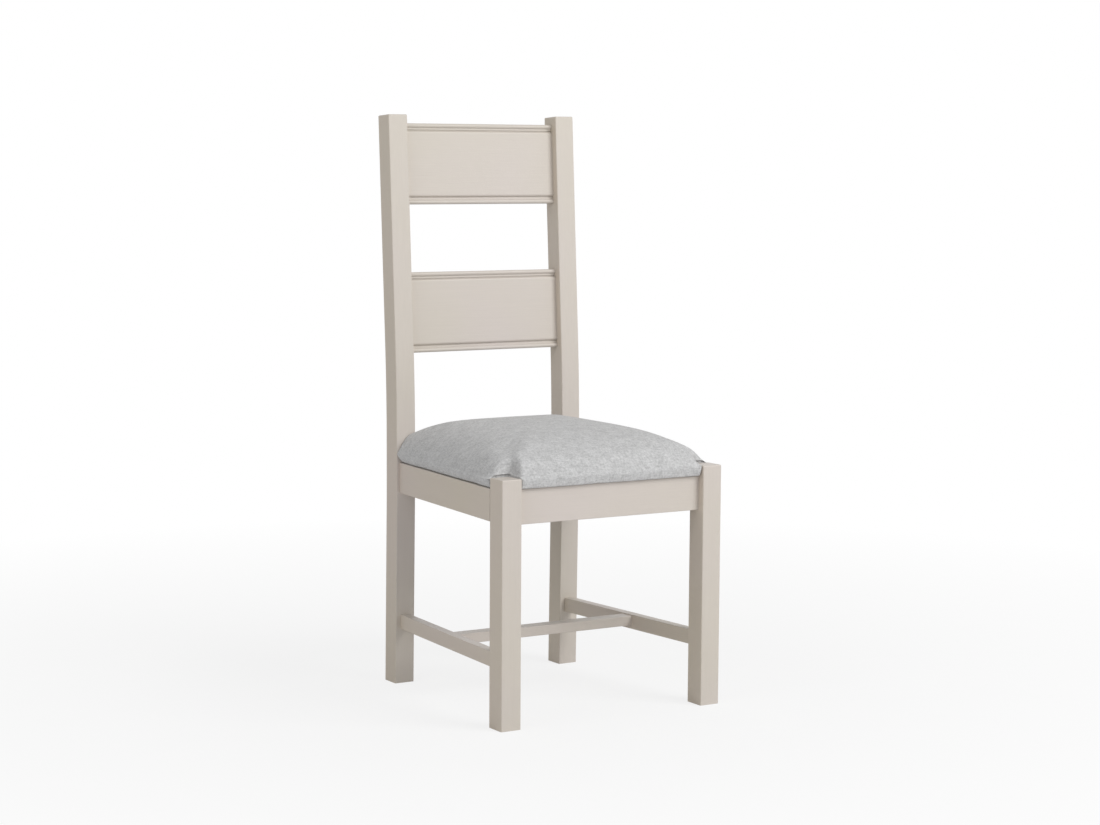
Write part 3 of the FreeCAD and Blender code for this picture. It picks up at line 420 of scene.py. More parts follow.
def place_group(tree, name, build, values):
    """A node group placed in a material with its own values, built at its first use."""
    if name not in GROUPS:
        GROUPS[name] = build()
    node = tree.nodes.new("ShaderNodeGroup")
    node.node_tree = GROUPS[name]
    for label, item in values.items():
        feed(tree, node.inputs[label], item)
    return node.outputs


def wood_fibres(tree, where, way, drift_scale):
    """The wood's fibres in a material, with the grain along the piece."""
    values = {"Vector": where, "Stretch": STRETCH[way], "Drift Scale": drift_scale}
    return place_group(tree, "Wood Fibres", grain_group, values)


def woven(tree, where, thread):
    """The weave in a material, with its own distance between threads."""
    values = {"Vector": where, "Normal": surface_normal(tree), "Thread": thread}
    return place_group(tree, "Heathered Weave", weave_group, values)


def new_material(name):
    """A material with its node tree, its Principled BSDF and its object coordinates."""
    material = bpy.data.materials.new(name)
    material.use_nodes = True
    tree = material.node_tree
    shader = next(node for node in tree.nodes if node.type == "BSDF_PRINCIPLED")
    where = tree.nodes.new("ShaderNodeTexCoord").outputs["Object"]
    return material, tree, shader, where


def coat(tree, shader, colour, rough):
    """Give the surface its colour and its roughness."""
    tree.links.new(colour, shader.inputs["Base Color"])
    tree.links.new(rough, shader.inputs["Roughness"])


def bump(tree, shader, height, distance, strength):
    """Relief from a height."""
    node = tree.nodes.new("ShaderNodeBump")
    node.inputs["Strength"].default_value = strength
    node.inputs["Distance"].default_value = distance
    tree.links.new(height, node.inputs["Height"])
    tree.links.new(node.outputs[0], shader.inputs["Normal"])


# How closely the fibres lie across and along the grain, for each way that a piece is cut
ACROSS_GRAIN, ALONG_GRAIN = 420.0, 9.0
STRETCH = {
    "upright": (ACROSS_GRAIN, ACROSS_GRAIN, ALONG_GRAIN),
    "crosswise": (ALONG_GRAIN, ACROSS_GRAIN, ACROSS_GRAIN),
    "lengthwise": (ACROSS_GRAIN, ALONG_GRAIN, ACROSS_GRAIN),
}

# Paint: scale of its drift, how far a face looks to the side before and when it has the painted
# side shade, shade of the darkest and lightest streak, and what they take from and add to the
# roughness
PAINT_DRIFT = 3.2
PAINTED_SHADE_FACING = (0.5, 0.9)
STREAK_SHADES = (0.972, 1.0)
SMOOTHER, ROUGHER = 0.04, 0.05
PAINT_BUMP = 0.5

# Bare wood: scale of its drift, shares of streaks and drift in its tone, its roughness and relief
BARE_DRIFT = 9.0
BARE_SHARES = (0.7, 0.3)
BARE_ROUGHNESS = (0.6, 0.78)
BARE_RELIEF, BARE_BUMP = 0.0004, 0.7

BEECH_TONES = ((0.60, 0.43, 0.27), (0.46, 0.30, 0.17))
PLYWOOD_TONES = ((0.62, 0.47, 0.30), (0.50, 0.34, 0.20))

# Seat fabric: shares of fibres and mottle in its tone, and its roughness
FABRIC_SHARES = (0.55, 0.45)
FABRIC_ROUGHNESS = (0.82, 0.95)
CLOTH_BUMP = 0.6

# Dust cover: its threads, its tones, its roughness and its relief
LINING_THREAD = 0.0009
LINING_TONES = ((0.010, 0.010, 0.011), (0.035, 0.035, 0.037))
LINING_ROUGHNESS = (0.7, 0.9)
LINING_RELIEF = 0.0003

# Screws and staples: clouds in the zinc, their tones and their roughness
ZINC_NOISE = (900.0, 4.0, 0.6)
ZINC_TONES = ((0.42, 0.43, 0.44), (0.62, 0.61, 0.58))
ZINC_ROUGHNESS = (0.28, 0.45)


def paint_material(way):
    """Satin paint over wood whose grain runs one way."""
    settings = bpy.context.scene.chair_paint
    material, tree, shader, where = new_material(f"paint_{way}")
    fibres = wood_fibres(tree, where, way, PAINT_DRIFT)
    tone = mix_colours(tree, fibres["Drift"], settings.cool_tone, settings.warm_tone)
    # Painted shade: faces that look to the sides take a darker, warmer tint for how they are lit, not
    # a colour of the paint
    facing = separate(tree, vector_maths(tree, "ABSOLUTE", surface_normal(tree)))
    tinted = mix_colours(tree, 1.0, tone, settings.painted_side_shade, "MULTIPLY")
    tone = mix_colours(tree, spread(tree, facing[0], *PAINTED_SHADE_FACING), tone, tinted)
    shade = spread(tree, fibres["Streaks"], 0.0, 1.0, *STREAK_SHADES)
    grey = combine(tree, shade, shade, shade)
    colour = mix_colours(tree, 1.0, tone, grey, "MULTIPLY")
    limits = (settings.roughness - SMOOTHER, settings.roughness + ROUGHER)
    coat(tree, shader, colour, spread(tree, fibres["Streaks"], 0.0, 1.0, *limits))
    bump(tree, shader, fibres["Height"], settings.grain_depth, PAINT_BUMP)
    return material


def bare_wood_material(name, tones, way):
    """Unfinished wood."""
    material, tree, shader, where = new_material(name)
    fibres = wood_fibres(tree, where, way, BARE_DRIFT)
    grain = weighted(tree, (fibres["Streaks"], fibres["Drift"]), BARE_SHARES)
    rough = spread(tree, fibres["Streaks"], 0.0, 1.0, *BARE_ROUGHNESS)
    coat(tree, shader, mix_colours(tree, grain, *tones), rough)
    bump(tree, shader, fibres["Height"], BARE_RELIEF, BARE_BUMP)
    return material


def fabric_material():
    """Heathered upholstery fabric."""
    settings = bpy.context.scene.chair_fabric
    material, tree, shader, where = new_material("seat_fabric")
    weave = woven(tree, where, settings.thread)
    blend = weighted(tree, (weave["Tone"], weave["Mottle"]), FABRIC_SHARES)
    colour = mix_colours(tree, blend, settings.dark_yarn, settings.light_yarn)
    coat(tree, shader, colour, spread(tree, weave["Tone"], 0.0, 1.0, *FABRIC_ROUGHNESS))
    shader.inputs["Sheen Weight"].default_value = 0.25
    shader.inputs["Sheen Roughness"].default_value = 0.5
    shader.inputs["Specular IOR Level"].default_value = 0.25
    bump(tree, shader, weave["Height"], settings.relief, CLOTH_BUMP)
    return material


def lining_material():
    """Black cloth of the dust cover."""
    material, tree, shader, where = new_material("lining")
    weave = woven(tree, where, LINING_THREAD)
    rough = spread(tree, weave["Tone"], 0.0, 1.0, *LINING_ROUGHNESS)
    coat(tree, shader, mix_colours(tree, weave["Tone"], *LINING_TONES), rough)
    bump(tree, shader, weave["Height"], LINING_RELIEF, CLOTH_BUMP)
    return material


def steel_material():
    """Zinc-plated steel."""
    material, tree, shader, where = new_material("zinc_plated_steel")
    cloud = noise(tree, where, *ZINC_NOISE)
    shader.inputs["Metallic"].default_value = 1.0
    rough = spread(tree, cloud, *MASK_RANGE, *ZINC_ROUGHNESS)
    coat(tree, shader, mix_colours(tree, cloud, *ZINC_TONES), rough)
    return material


def finish_nodes(material, slot, *names):
    """Give CAD nodes a material. The slot is not used."""
    for name in names:
        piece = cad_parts[name]
        piece.data.materials.clear()
        piece.data.materials.append(material)
        for face in piece.data.polygons:
            face.material_index = 0


def new_object(context, name, data):
    """An object in the scene for a mesh, a lamp or a camera."""
    item = bpy.data.objects.new(name, data)
    context.scene.collection.objects.link(item)
    return item


def dress(mesh, material):
    """Give a mesh smooth faces and a material."""
    for face in mesh.polygons:
        face.use_smooth = True
    mesh.materials.append(material)


# Dust cover


# Its cut: how far up a face of its solid looks to be kept, when points are one, up to which angle
# faces are joined, and the edges that are then cut into even lengths
FACES_UP = 0.9
SAME_POINT = 0.00001
FLAT_ANGLE = 0.01
LONG_EDGE, CUTS = 0.03, 7
# Its form: just under the top of its solid, its sag, and the pucker's depth and waves
LINING_DROP = 0.0001
LINING_SAG = 0.0040
PUCKER = 0.0004
PUCKER_ACROSS, PUCKER_ALONG, PUCKER_START = 160.0, 130.0, 0.7
LINING_THICKNESS = 0.0004


def dust_cover_mesh(low, high):
    """The cloth with the cut of its solid, sagging a little from its staples, and its flat area."""
    shape = bmesh.new()
    shape.from_mesh(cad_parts["seat_dust_cover"].data)
    others = [face for face in shape.faces if face.normal.z < FACES_UP]
    bmesh.ops.delete(shape, geom=others, context="FACES")
    loose = [vert for vert in shape.verts if not vert.link_faces]
    bmesh.ops.delete(shape, geom=loose, context="VERTS")
    bmesh.ops.remove_doubles(shape, verts=shape.verts, dist=SAME_POINT)
    flat_area = sum(face.calc_area() for face in shape.faces)
    bmesh.ops.dissolve_limit(shape, angle_limit=FLAT_ANGLE, verts=shape.verts, edges=shape.edges)
    bmesh.ops.triangulate(shape, faces=shape.faces)
    long_edges = [edge for edge in shape.edges if edge.calc_length() > LONG_EDGE]
    bmesh.ops.subdivide_edges(shape, edges=long_edges, cuts=CUTS, use_grid_fill=True)
    bmesh.ops.triangulate(shape, faces=shape.faces)
    middle = (low + high) / 2
    half = (high - low) / 2
    for vert in shape.verts:
        u = (vert.co.x - middle.x) / half.x
        v = (vert.co.y - middle.y) / half.y
        slack = max(0.0, 1 - u * u) * max(0.0, 1 - v * v)
        across = math.sin(vert.co.x * PUCKER_ACROSS + PUCKER_START)
        pucker = across * math.sin(vert.co.y * PUCKER_ALONG)
        vert.co.z = high.z - LINING_DROP - LINING_SAG * slack - PUCKER * pucker * slack
    mesh = bpy.data.meshes.new("dust_cover")
    shape.to_mesh(mesh)
    shape.free()
    return mesh, flat_area


# Seat pad


# How the fabric turns under the pad's edge, from the rails up: how far it is inside the widest line,
# its height over the rails, and its share of the bulge
HEM_ROLL = (
    (0.0085, 0.0000, 0.0),
    (0.0046, 0.0010, 0.1),
    (0.0037, 0.0030, 0.25),
    (0.0026, 0.0062, 0.5),
    (0.0013, 0.0102, 0.8),
    (0.0003, 0.0142, 0.95),
)
# How much of the hem's inset it has round the legs and posts
HEM_NOTCH_SHARE = 0.2
# Waves in the hem: how many go round the pad, their strength and where they start; their depth, the
# deepest trough, and the height over the rails at which they are whole
HEM_WAVES = ((11.0, 1.0, 0.4), (17.0, 0.8, 2.1), (31.0, 0.5, 1.3))
RIPPLE = 0.0006
DEEPEST_TROUGH = -1.0
RIPPLE_WHOLE = 0.003

# The pad's underside: how far it is over the rails, and over and under the seat board; its gap and
# inset round the board; and how far the hem reaches under it towards the pad's core
OVER_RAIL = 0.0002
OVER_BOARD, UNDER_BOARD = 0.0003, 0.0001
BOARD_GAP, BOARD_INSET = 0.0018, 0.0044
HEM_REACH = 0.55

# The wall from the hem to the top's outer line: its least height over the hem, and a line in it, at a
# share of its height less a small drop
LEAST_WALL = 0.0022
WALL_LINE, WALL_DROP = 0.80, 0.0004

# The top: its rings, how they crowd at the edge, the least rise from ring to ring, and the rings over
# which the fabric becomes free to swell
TOP_RINGS = 22
RING_CROWDING = 2.0
LEAST_STEP = 0.0006
FREE_AFTER = 6.0

# Inside the rings is an even grid: half its width, half its depth, and the power of its rounded shape
CORE_WIDTH, CORE_DEPTH, CORE_POWER = 0.145, 0.155, 4

# The sides' bulge behind a front leg: the share that is drawn in there, and the distance that takes
DRAWN_IN, DRAWN_OVER = 0.65, 0.035
# Half the width over which the middle is crowned
CROWN_WIDTH = 0.228
# How the fullness at a front leg falls away to the side, and how much slower it grows backwards
FULLNESS_POWER, BACKWARD_SHARE = 0.7, 0.35

# Creases from the inner side of a front leg: start behind the pad's front, length, angle from
# straight back towards the middle, and depth
LEG_CREASES = ((0.012, 0.022, 1.10, 0.0010), (0.044, 0.028, 0.10, 0.0008))
# Width of a crease at its start, how it widens, and how far it reaches back behind its start
CREASE_WIDTH, CREASE_WIDENING, CREASE_BACK = 0.0020, 0.14, -0.004


def soft_minimum(first, second, softness):
    """The lower of two distances, rounded off where they meet."""
    blend = np.clip(0.5 + (second - first) / softness / 2, 0, 1)
    return first * blend + second * (1 - blend) - softness * blend * (1 - blend)


class PadForm:
    """The pad's plan and height, in metres, taken from the solids that it fits between."""

    # Steps in each straight piece of the outline
    FRONT, NOTCH, SIDE, POST_FRONT, POST_SIDE, BACK = 66, 8, 72, 7, 6, 70

    def __init__(self, settings):
        self.settings = settings
        self.front = LEG_LOW.y + settings.front_inset
        self.back = POST_LOW.y + settings.back_reach
        self.leg_in, self.leg_back = LEG_LOW.x, LEG_HIGH.y
        self.post_in, self.post_front = POST_LOW.x, POST_LOW.y
        self.side_front, self.side_back = LEG_HIGH.x, POST_HIGH.x - settings.rail_inset
        self.middle = Vector((0.0, (self.front + self.back) / 2))
        self.base = RAIL_TOP + OVER_RAIL

    def side(self, y, bulged=1.0):
        """Half the width of the pad at depth y, with a share of the bulge over the side rails."""
        share = (y - self.leg_back) / (self.post_front - self.leg_back)
        drawn_in = DRAWN_IN * np.exp(-np.maximum(y - self.leg_back, 0.0) / DRAWN_OVER)
        bulge = self.settings.bulge * bulged * (1 - drawn_in)
        return self.side_front + (self.side_back - self.side_front) * share + bulge

    def corners(self, gap, inset, bulged, behind):
        """Corners of the right half, from the leg's inner front to the post's inner back."""
        leg_y, post_y = self.leg_back + gap + behind, self.post_front - gap
        return [
            (self.leg_in - gap, self.front + inset),
            (self.leg_in - gap, leg_y),
            (self.side(leg_y, bulged) - inset, leg_y),
            (self.side(post_y, bulged) - inset, post_y),
            (self.post_in - gap, post_y),
            (self.post_in - gap, self.back - inset),
        ]

    def outline(self, gap, inset, bulged=1.0, behind=0.0):
        """Points of the closed outline, anticlockwise, from the left leg's inner back corner.

        It keeps a gap to the legs and posts, lies inside the pad's edges by the inset, has a share of
        the bulge, and stays further behind the front legs by the last distance.
        """
        right = self.corners(gap, inset, bulged, behind)
        left = [(-x, y) for x, y in right]
        path = [left[1], left[0], *right, left[5], left[4], left[3], left[2]]
        steps = [self.NOTCH, self.FRONT, self.NOTCH, self.NOTCH, self.SIDE, self.POST_FRONT,
                 self.POST_SIDE, self.BACK, self.POST_SIDE, self.POST_FRONT, self.SIDE, self.NOTCH]
        points = []
        for start, end, count in zip(path, path[1:] + path[:1], steps):
            for step in range(count):
                share = step / count
                x = start[0] + (end[0] - start[0]) * share
                y = start[1] + (end[1] - start[1]) * share
                if count == self.SIDE:
                    x = math.copysign(self.side(y, bulged) - inset, x)
                points.append((x, y))
        return np.array(points)

    def core(self, points):
        """The ring inside the outline where the even grid of the top begins."""
        middle = np.array(self.middle)
        away = points - middle
        away /= np.linalg.norm(away, axis=1, keepdims=True)
        across, along = np.abs(away[:, :1] / CORE_WIDTH), np.abs(away[:, 1:] / CORE_DEPTH)
        radius = (across ** CORE_POWER + along ** CORE_POWER) ** (-1 / CORE_POWER)
        return middle + away * radius

    def edge_distance(self, points):
        """Distance to the plain edges of the pad, as if it had no notches."""
        x, y = np.abs(points[:, 0]), points[:, 1]
        slope = (self.side_front - self.side_back) / (self.post_front - self.leg_back)
        beside = (self.side(y) - x) / math.hypot(1.0, slope)
        ends = np.minimum(y - self.front, self.back - y)
        return np.maximum(soft_minimum(beside, ends, self.settings.corner_softness / 2), 0.0)

    def from_leg(self, points):
        """How far points are inside a front leg's inner face, and how far behind the leg."""
        across = np.maximum(self.leg_in - self.settings.leg_gap - np.abs(points[:, 0]), 0.0)
        return across, np.maximum(points[:, 1] - self.leg_back, 0.0)

    def leg_distance(self, points):
        """Fullness of the pad at a front leg, less towards the side, and distance from the leg."""
        across, behind = self.from_leg(points)
        side, inner = self.side(points[:, 1]), self.leg_in - self.settings.leg_gap
        share = np.clip((side - np.abs(points[:, 0])) / (side - inner), 0, 1)
        fullness = self.settings.leg_fullness * share ** FULLNESS_POWER
        return fullness + np.hypot(across, BACKWARD_SHARE * behind)

    def height(self, points):
        """Height of the fabric over the rails at plan points."""
        made = self.settings
        edge, leg = self.edge_distance(points), self.leg_distance(points)
        inset = np.maximum(soft_minimum(edge, leg, made.corner_softness), 0.0)
        u = points[:, 0] / CROWN_WIDTH
        v = (points[:, 1] - self.middle.y) / ((self.back - self.front) / 2)
        turned = 1 - np.exp(-((inset / made.falloff) ** made.roundness))
        rise = made.rise * turned * (1 + made.back_lift * v)
        rise += made.crown * np.clip(1 - u * u, 0, 1) * np.clip(1 - v * v, 0, 1)
        across, behind = self.from_leg(points)
        tucked = np.exp(-((across ** 2 + behind ** 2) / made.tuck_width ** 2))
        return rise - np.maximum(rise - (LEG_HIGH.z - self.base + made.tuck_height), 0.0) * tucked

    def folds(self, points):
        """Depth of the creases that the fabric is drawn into beside the tops of the front legs."""
        drop = np.zeros(len(points))
        inner = self.leg_in - self.settings.leg_gap
        for back, length, turn, depth in LEG_CREASES:
            away = (-math.sin(turn), math.cos(turn))
            across = np.abs(points[:, 0]) - inner
            along = points[:, 1] - self.front - back
            run = across * away[0] + along * away[1]
            off = across * away[1] - along * away[0]
            width = CREASE_WIDTH + CREASE_WIDENING * np.maximum(run, 0.0)
            fade = np.exp(-((np.maximum(run, 0.0) / length) ** 2)) * (run > CREASE_BACK)
            drop += depth * np.exp(-((off / width) ** 2)) * fade
        return drop

    def surface(self, points):
        """Height of the creased fabric over the floor at plan points."""
        return self.base + self.height(points) - self.folds(points)


def grid_points(ring, across, down):
    """Inner points of an even grid that fills a closed ring of points."""
    first = ring[:across + 1]
    right = ring[across:across + down + 1]
    last = ring[across + down:2 * across + down + 1][::-1]
    left = np.concatenate([ring[2 * across + down:], ring[:1]])[::-1]
    rows = []
    for i in range(1, down):
        t = i / down
        for j in range(1, across):
            s = j / across
            edges = (1 - t) * first[j] + t * last[j] + (1 - s) * left[i] + s * right[i]
            corners = (1 - s) * (1 - t) * first[0] + s * (1 - t) * first[-1]
            corners = corners + (1 - s) * t * last[0] + s * t * last[-1]
            rows.append(edges - corners)
    return np.array(rows)


def grid_faces(edge, start, across, down):
    """Quads of that grid, from the ring's points and the first of the inner ones."""
    count = len(edge)

    def point(row, column):
        """The point at a place in the grid."""
        if row == 0:
            return edge[column]
        if row == down:
            return edge[2 * across + down - column]
        if column == across:
            return edge[across + row]
        if column == 0:
            return edge[(count - row) % count]
        return start + (row - 1) * (across - 1) + column - 1

    turn = ((0, 0), (0, 1), (1, 1), (1, 0))
    return [
        tuple(point(row + i, column + j) for i, j in turn)
        for row in range(down)
        for column in range(across)
    ]


def hem_ripple(count):
    """Small waves of the hem round the pad."""
    turned = np.arange(count) / count * 2 * math.pi
    waves = sum(strength * np.sin(turned * number + start) for number, strength, start in HEM_WAVES)
    return RIPPLE * np.maximum(waves, DEEPEST_TROUGH)


def pad_mesh(form):
    """The closed mesh of the pad, and how freely each of its points moves as cloth.

    It goes from the underside on the board round the hem, up the sides and over the crowned top.
    """
    gap = form.settings.leg_gap
    outline = form.outline(gap, 0.0)
    core = form.core(outline)
    count = len(outline)
    across = form.FRONT + 2 * form.NOTCH
    down = form.NOTCH + form.SIDE + form.POST_FRONT
    points, moves = [], []

    def add(plan, heights, free=0.0):
        """Add points at their heights, and say which they are."""
        start = len(points)
        points.extend((x, y, z) for (x, y), z in zip(plan, np.broadcast_to(heights, len(plan))))
        moves.extend([free] * len(plan))
        return range(start, len(points))

    over_board, under_board = BOARD_HIGH.z + OVER_BOARD, BOARD_LOW.z - UNDER_BOARD
    board_line = form.outline(gap + BOARD_GAP, BOARD_INSET, 0.0)
    hem_inner = outline + (core - outline) * HEM_REACH
    rings = [
        add(core, over_board),
        add(board_line, over_board),
        add(board_line, under_board),
        add(hem_inner, under_board),
        add(hem_inner, form.base),
    ]
    ripple = hem_ripple(count)
    for inset, rise, bulged in HEM_ROLL:
        plan = form.outline(gap + inset * HEM_NOTCH_SHARE, inset, bulged)
        rings.append(add(plan, form.base + rise + ripple * min(1.0, rise / RIPPLE_WHOLE)))

    lowest = HEM_ROLL[-1][1] + LEAST_WALL
    walls = np.maximum(form.height(outline), lowest)
    hollowed = form.outline(gap, 0.0, 1.0, form.settings.leg_hollow)
    rings.append(add(hollowed, form.base + lowest - WALL_DROP + WALL_LINE * (walls - lowest)))
    rings.append(add(outline, form.base + walls))
    for step in range(1, TOP_RINGS + 1):
        plan = outline + (core - outline) * (step / TOP_RINGS) ** RING_CROWDING
        heights = np.maximum(form.surface(plan), form.base + lowest + LEAST_STEP * step)
        rings.append(add(plan, heights, min(1.0, step / FREE_AFTER)))

    grid = grid_points(core, across, down)
    top = add(grid, form.surface(grid), 1.0)
    underside = add(grid, over_board)
    faces = []
    for lower, upper in zip(rings, rings[1:]):
        for i in range(count):
            j = (i + 1) % count
            faces.append((lower[i], lower[j], upper[j], upper[i]))
    faces += grid_faces(rings[-1], top.start, across, down)
    faces += [face[::-1] for face in grid_faces(rings[0], underside.start, across, down)]
    mesh = bpy.data.meshes.new("seat_pad")
    mesh.from_pydata(points, [], faces)
    mesh.update()
    return mesh, moves


def inflate(pad, moves, made):
    """Draw the fabric in a little, inflate it as cloth, and keep what it does within a limit."""
    mesh = pad.data
    count = len(mesh.vertices)
    start = np.empty(count * 3)
    mesh.vertices.foreach_get("co", start)
    normals = np.empty(count * 3)
    mesh.vertices.foreach_get("normal", normals)
    free = np.array(moves)[:, None]
    drawn = start.reshape(-1, 3) - normals.reshape(-1, 3) * free * made.slack
    mesh.vertices.foreach_set("co", drawn.ravel())
    mesh.update()
    held = pad.vertex_groups.new(name="held")
    for index, share in enumerate(moves):
        if share < 1.0:
            held.add([index], 1.0 - share, "REPLACE")
    cloth = pad.modifiers.new("inflate", "CLOTH")
    cloth.settings.quality = 6
    cloth.settings.mass = 0.3
    cloth.settings.vertex_group_mass = "held"
    cloth.settings.tension_stiffness = 12
    cloth.settings.compression_stiffness = 12
    cloth.settings.bending_stiffness = 1.5
    cloth.settings.use_pressure = True
    cloth.settings.uniform_pressure_force = made.pressure
    cloth.settings.effector_weights.gravity = 0.0
    cloth.collision_settings.use_collision = False
    cloth.point_cache.frame_start, cloth.point_cache.frame_end = 1, made.frames
    scene = bpy.context.scene
    for step in range(1, made.frames + 1):
        scene.frame_set(step)
    graph = bpy.context.evaluated_depsgraph_get()
    swollen = np.empty(count * 3)
    pad.evaluated_get(graph).data.vertices.foreach_get("co", swollen)
    moved = swollen.reshape(-1, 3) - drawn
    far = np.linalg.norm(moved, axis=1, keepdims=True)
    moved *= np.minimum(1.0, made.swell / np.maximum(far, 1e-9))
    pad.modifiers.remove(cloth)
    pad.vertex_groups.clear()
    mesh.vertices.foreach_set("co", (drawn + moved).ravel())
    mesh.update()
    scene.frame_set(1)


# Stage


# Each lamp's place, the point that it faces, and its size
KEY_LAMP = ((1.9, -3.4, 2.9), (0.0, 0.0, 0.6), 2.6)
FILL_LAMP = ((-3.6, -1.2, 2.2), (0.0, 0.0, 0.5), 2.4)

# Floor: radius, corners and how far it is under the feet, its clouds, its tones and roughness
FLOOR_RADIUS, FLOOR_CORNERS, FLOOR_DROP = 14.0, 96, 0.0004
FLOOR_NOISE = (6.0, 3.0, 0.5)
FLOOR_TONES = ((0.80, 0.80, 0.80), (0.84, 0.84, 0.84))
FLOOR_ROUGHNESS = 0.9
# Between these distances it fades into the white room, from the first share to the second
FADE_FROM, FADE_TO = 0.55, 2.2
FADE_SHARES = (0.80, 1.0)

# The photograph's camera: directions of its right and its top, and the width of its sensor
CAMERA_RIGHT = (0.85290343, -0.52203149, 0.00623391)
CAMERA_UP = (0.04916136, 0.09219689, 0.99452647)
SENSOR_WIDTH = 36.0


def floor_material():
    """Pale, and for the camera fading into the white room away from the chair."""
    material, tree, shader, where = new_material("pale_floor")
    grey = noise(tree, where, *FLOOR_NOISE)
    tree.links.new(mix_colours(tree, grey, *FLOOR_TONES), shader.inputs["Base Color"])
    shader.inputs["Roughness"].default_value = FLOOR_ROUGHNESS
    seen = tree.nodes.new("ShaderNodeLightPath").outputs["Is Camera Ray"]
    distance = vector_maths(tree, "LENGTH", where, result="Value")
    fade = spread(tree, distance, FADE_FROM, FADE_TO, *FADE_SHARES)
    glow = tree.nodes.new("ShaderNodeEmission")
    mixer = tree.nodes.new("ShaderNodeMixShader")
    tree.links.new(maths(tree, "MULTIPLY", seen, fade), mixer.inputs[0])
    tree.links.new(shader.outputs[0], mixer.inputs[1])
    tree.links.new(glow.outputs[0], mixer.inputs[2])
    output = next(node for node in tree.nodes if node.type == "OUTPUT_MATERIAL")
    tree.links.new(mixer.outputs[0], output.inputs["Surface"])
    return material


# Operators


class CHAIR_OT_paint_legs(bpy.types.Operator):
    """Paint the front legs and the back posts"""

    bl_idname = "chair.paint_legs"
    bl_label = "Paint Legs and Posts"

    def execute(self, context):
        names = ("front_leg_left", "front_leg_right", "back_post_left", "back_post_right")
        finish_nodes(paint_material("upright"), "painted_wood", *names)
        return {"FINISHED"}


class CHAIR_OT_paint_cross_pieces(bpy.types.Operator):
    """Paint the slats, the front and back rails and the centre stretcher"""

    bl_idname = "chair.paint_cross_pieces"
    bl_label = "Paint Slats and Cross Rails"

    def execute(self, context):
        names = ("top_slat", "lower_slat", "front_seat_rail", "back_seat_rail", "centre_stretcher")
        finish_nodes(paint_material("crosswise"), "painted_wood", *names)
        return {"FINISHED"}


class CHAIR_OT_paint_side_pieces(bpy.types.Operator):
    """Paint the side rails and the side stretchers"""

    bl_idname = "chair.paint_side_pieces"
    bl_label = "Paint Side Rails and Stretchers"

    def execute(self, context):
        kinds, sides = ("side_seat_rail", "side_stretcher"), ("left", "right")
        names = [f"{kind}_{side}" for kind in kinds for side in sides]
        finish_nodes(paint_material("lengthwise"), "painted_wood", *names)
        return {"FINISHED"}


class CHAIR_OT_finish_underside(bpy.types.Operator):
    """Bare wood, screws and staples under the seat"""

    bl_idname = "chair.finish_underside"
    bl_label = "Finish Underside"

    def execute(self, context):
        ends, sides = ("front", "back"), ("left", "right")
        blocks = [f"corner_block_{end}_{side}" for end in ends for side in sides]
        beech = bare_wood_material("bare_beech", BEECH_TONES, "crosswise")
        finish_nodes(beech, "raw_wood", *blocks)
        plywood = bare_wood_material("plywood", PLYWOOD_TONES, "lengthwise")
        finish_nodes(plywood, "plywood", "seat_board")
        steel = ("corner_block_screws", "seat_screws", "cover_staples", "dust_cover_staples")
        finish_nodes(steel_material(), "steel", *steel)
        return {"FINISHED"}


class CHAIR_OT_make_dust_cover(bpy.types.Operator):
    """Make the thin cloth that is stapled over the underside of the seat"""

    bl_idname = "chair.make_dust_cover"
    bl_label = "Make Dust Cover"

    def execute(self, context):
        low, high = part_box("seat_dust_cover")
        mesh, flat_area = dust_cover_mesh(low, high)
        cloth = new_object(context, "dust_cover", mesh)
        thick = cloth.modifiers.new("thickness", "SOLIDIFY")
        thick.thickness = LINING_THICKNESS
        thick.offset = -1.0
        dress(mesh, lining_material())
        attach(cloth, "root")
        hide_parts("seat_dust_cover")
        return {"FINISHED"}


class CHAIR_OT_make_seat_pad(bpy.types.Operator):
    """Make the upholstered seat pad in place of the plain cover and foam"""

    bl_idname = "chair.make_seat_pad"
    bl_label = "Make Seat Pad"

    def execute(self, context):
        made = context.scene.chair_seat
        mesh, moves = pad_mesh(PadForm(made))
        pad = new_object(context, "seat_pad", mesh)
        inflate(pad, moves, made)
        smooth = pad.modifiers.new("smooth", "SUBSURF")
        smooth.levels = smooth.render_levels = 1
        dress(mesh, fabric_material())
        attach(pad, "root")
        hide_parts("seat_cover", "seat_foam")
        return {"FINISHED"}


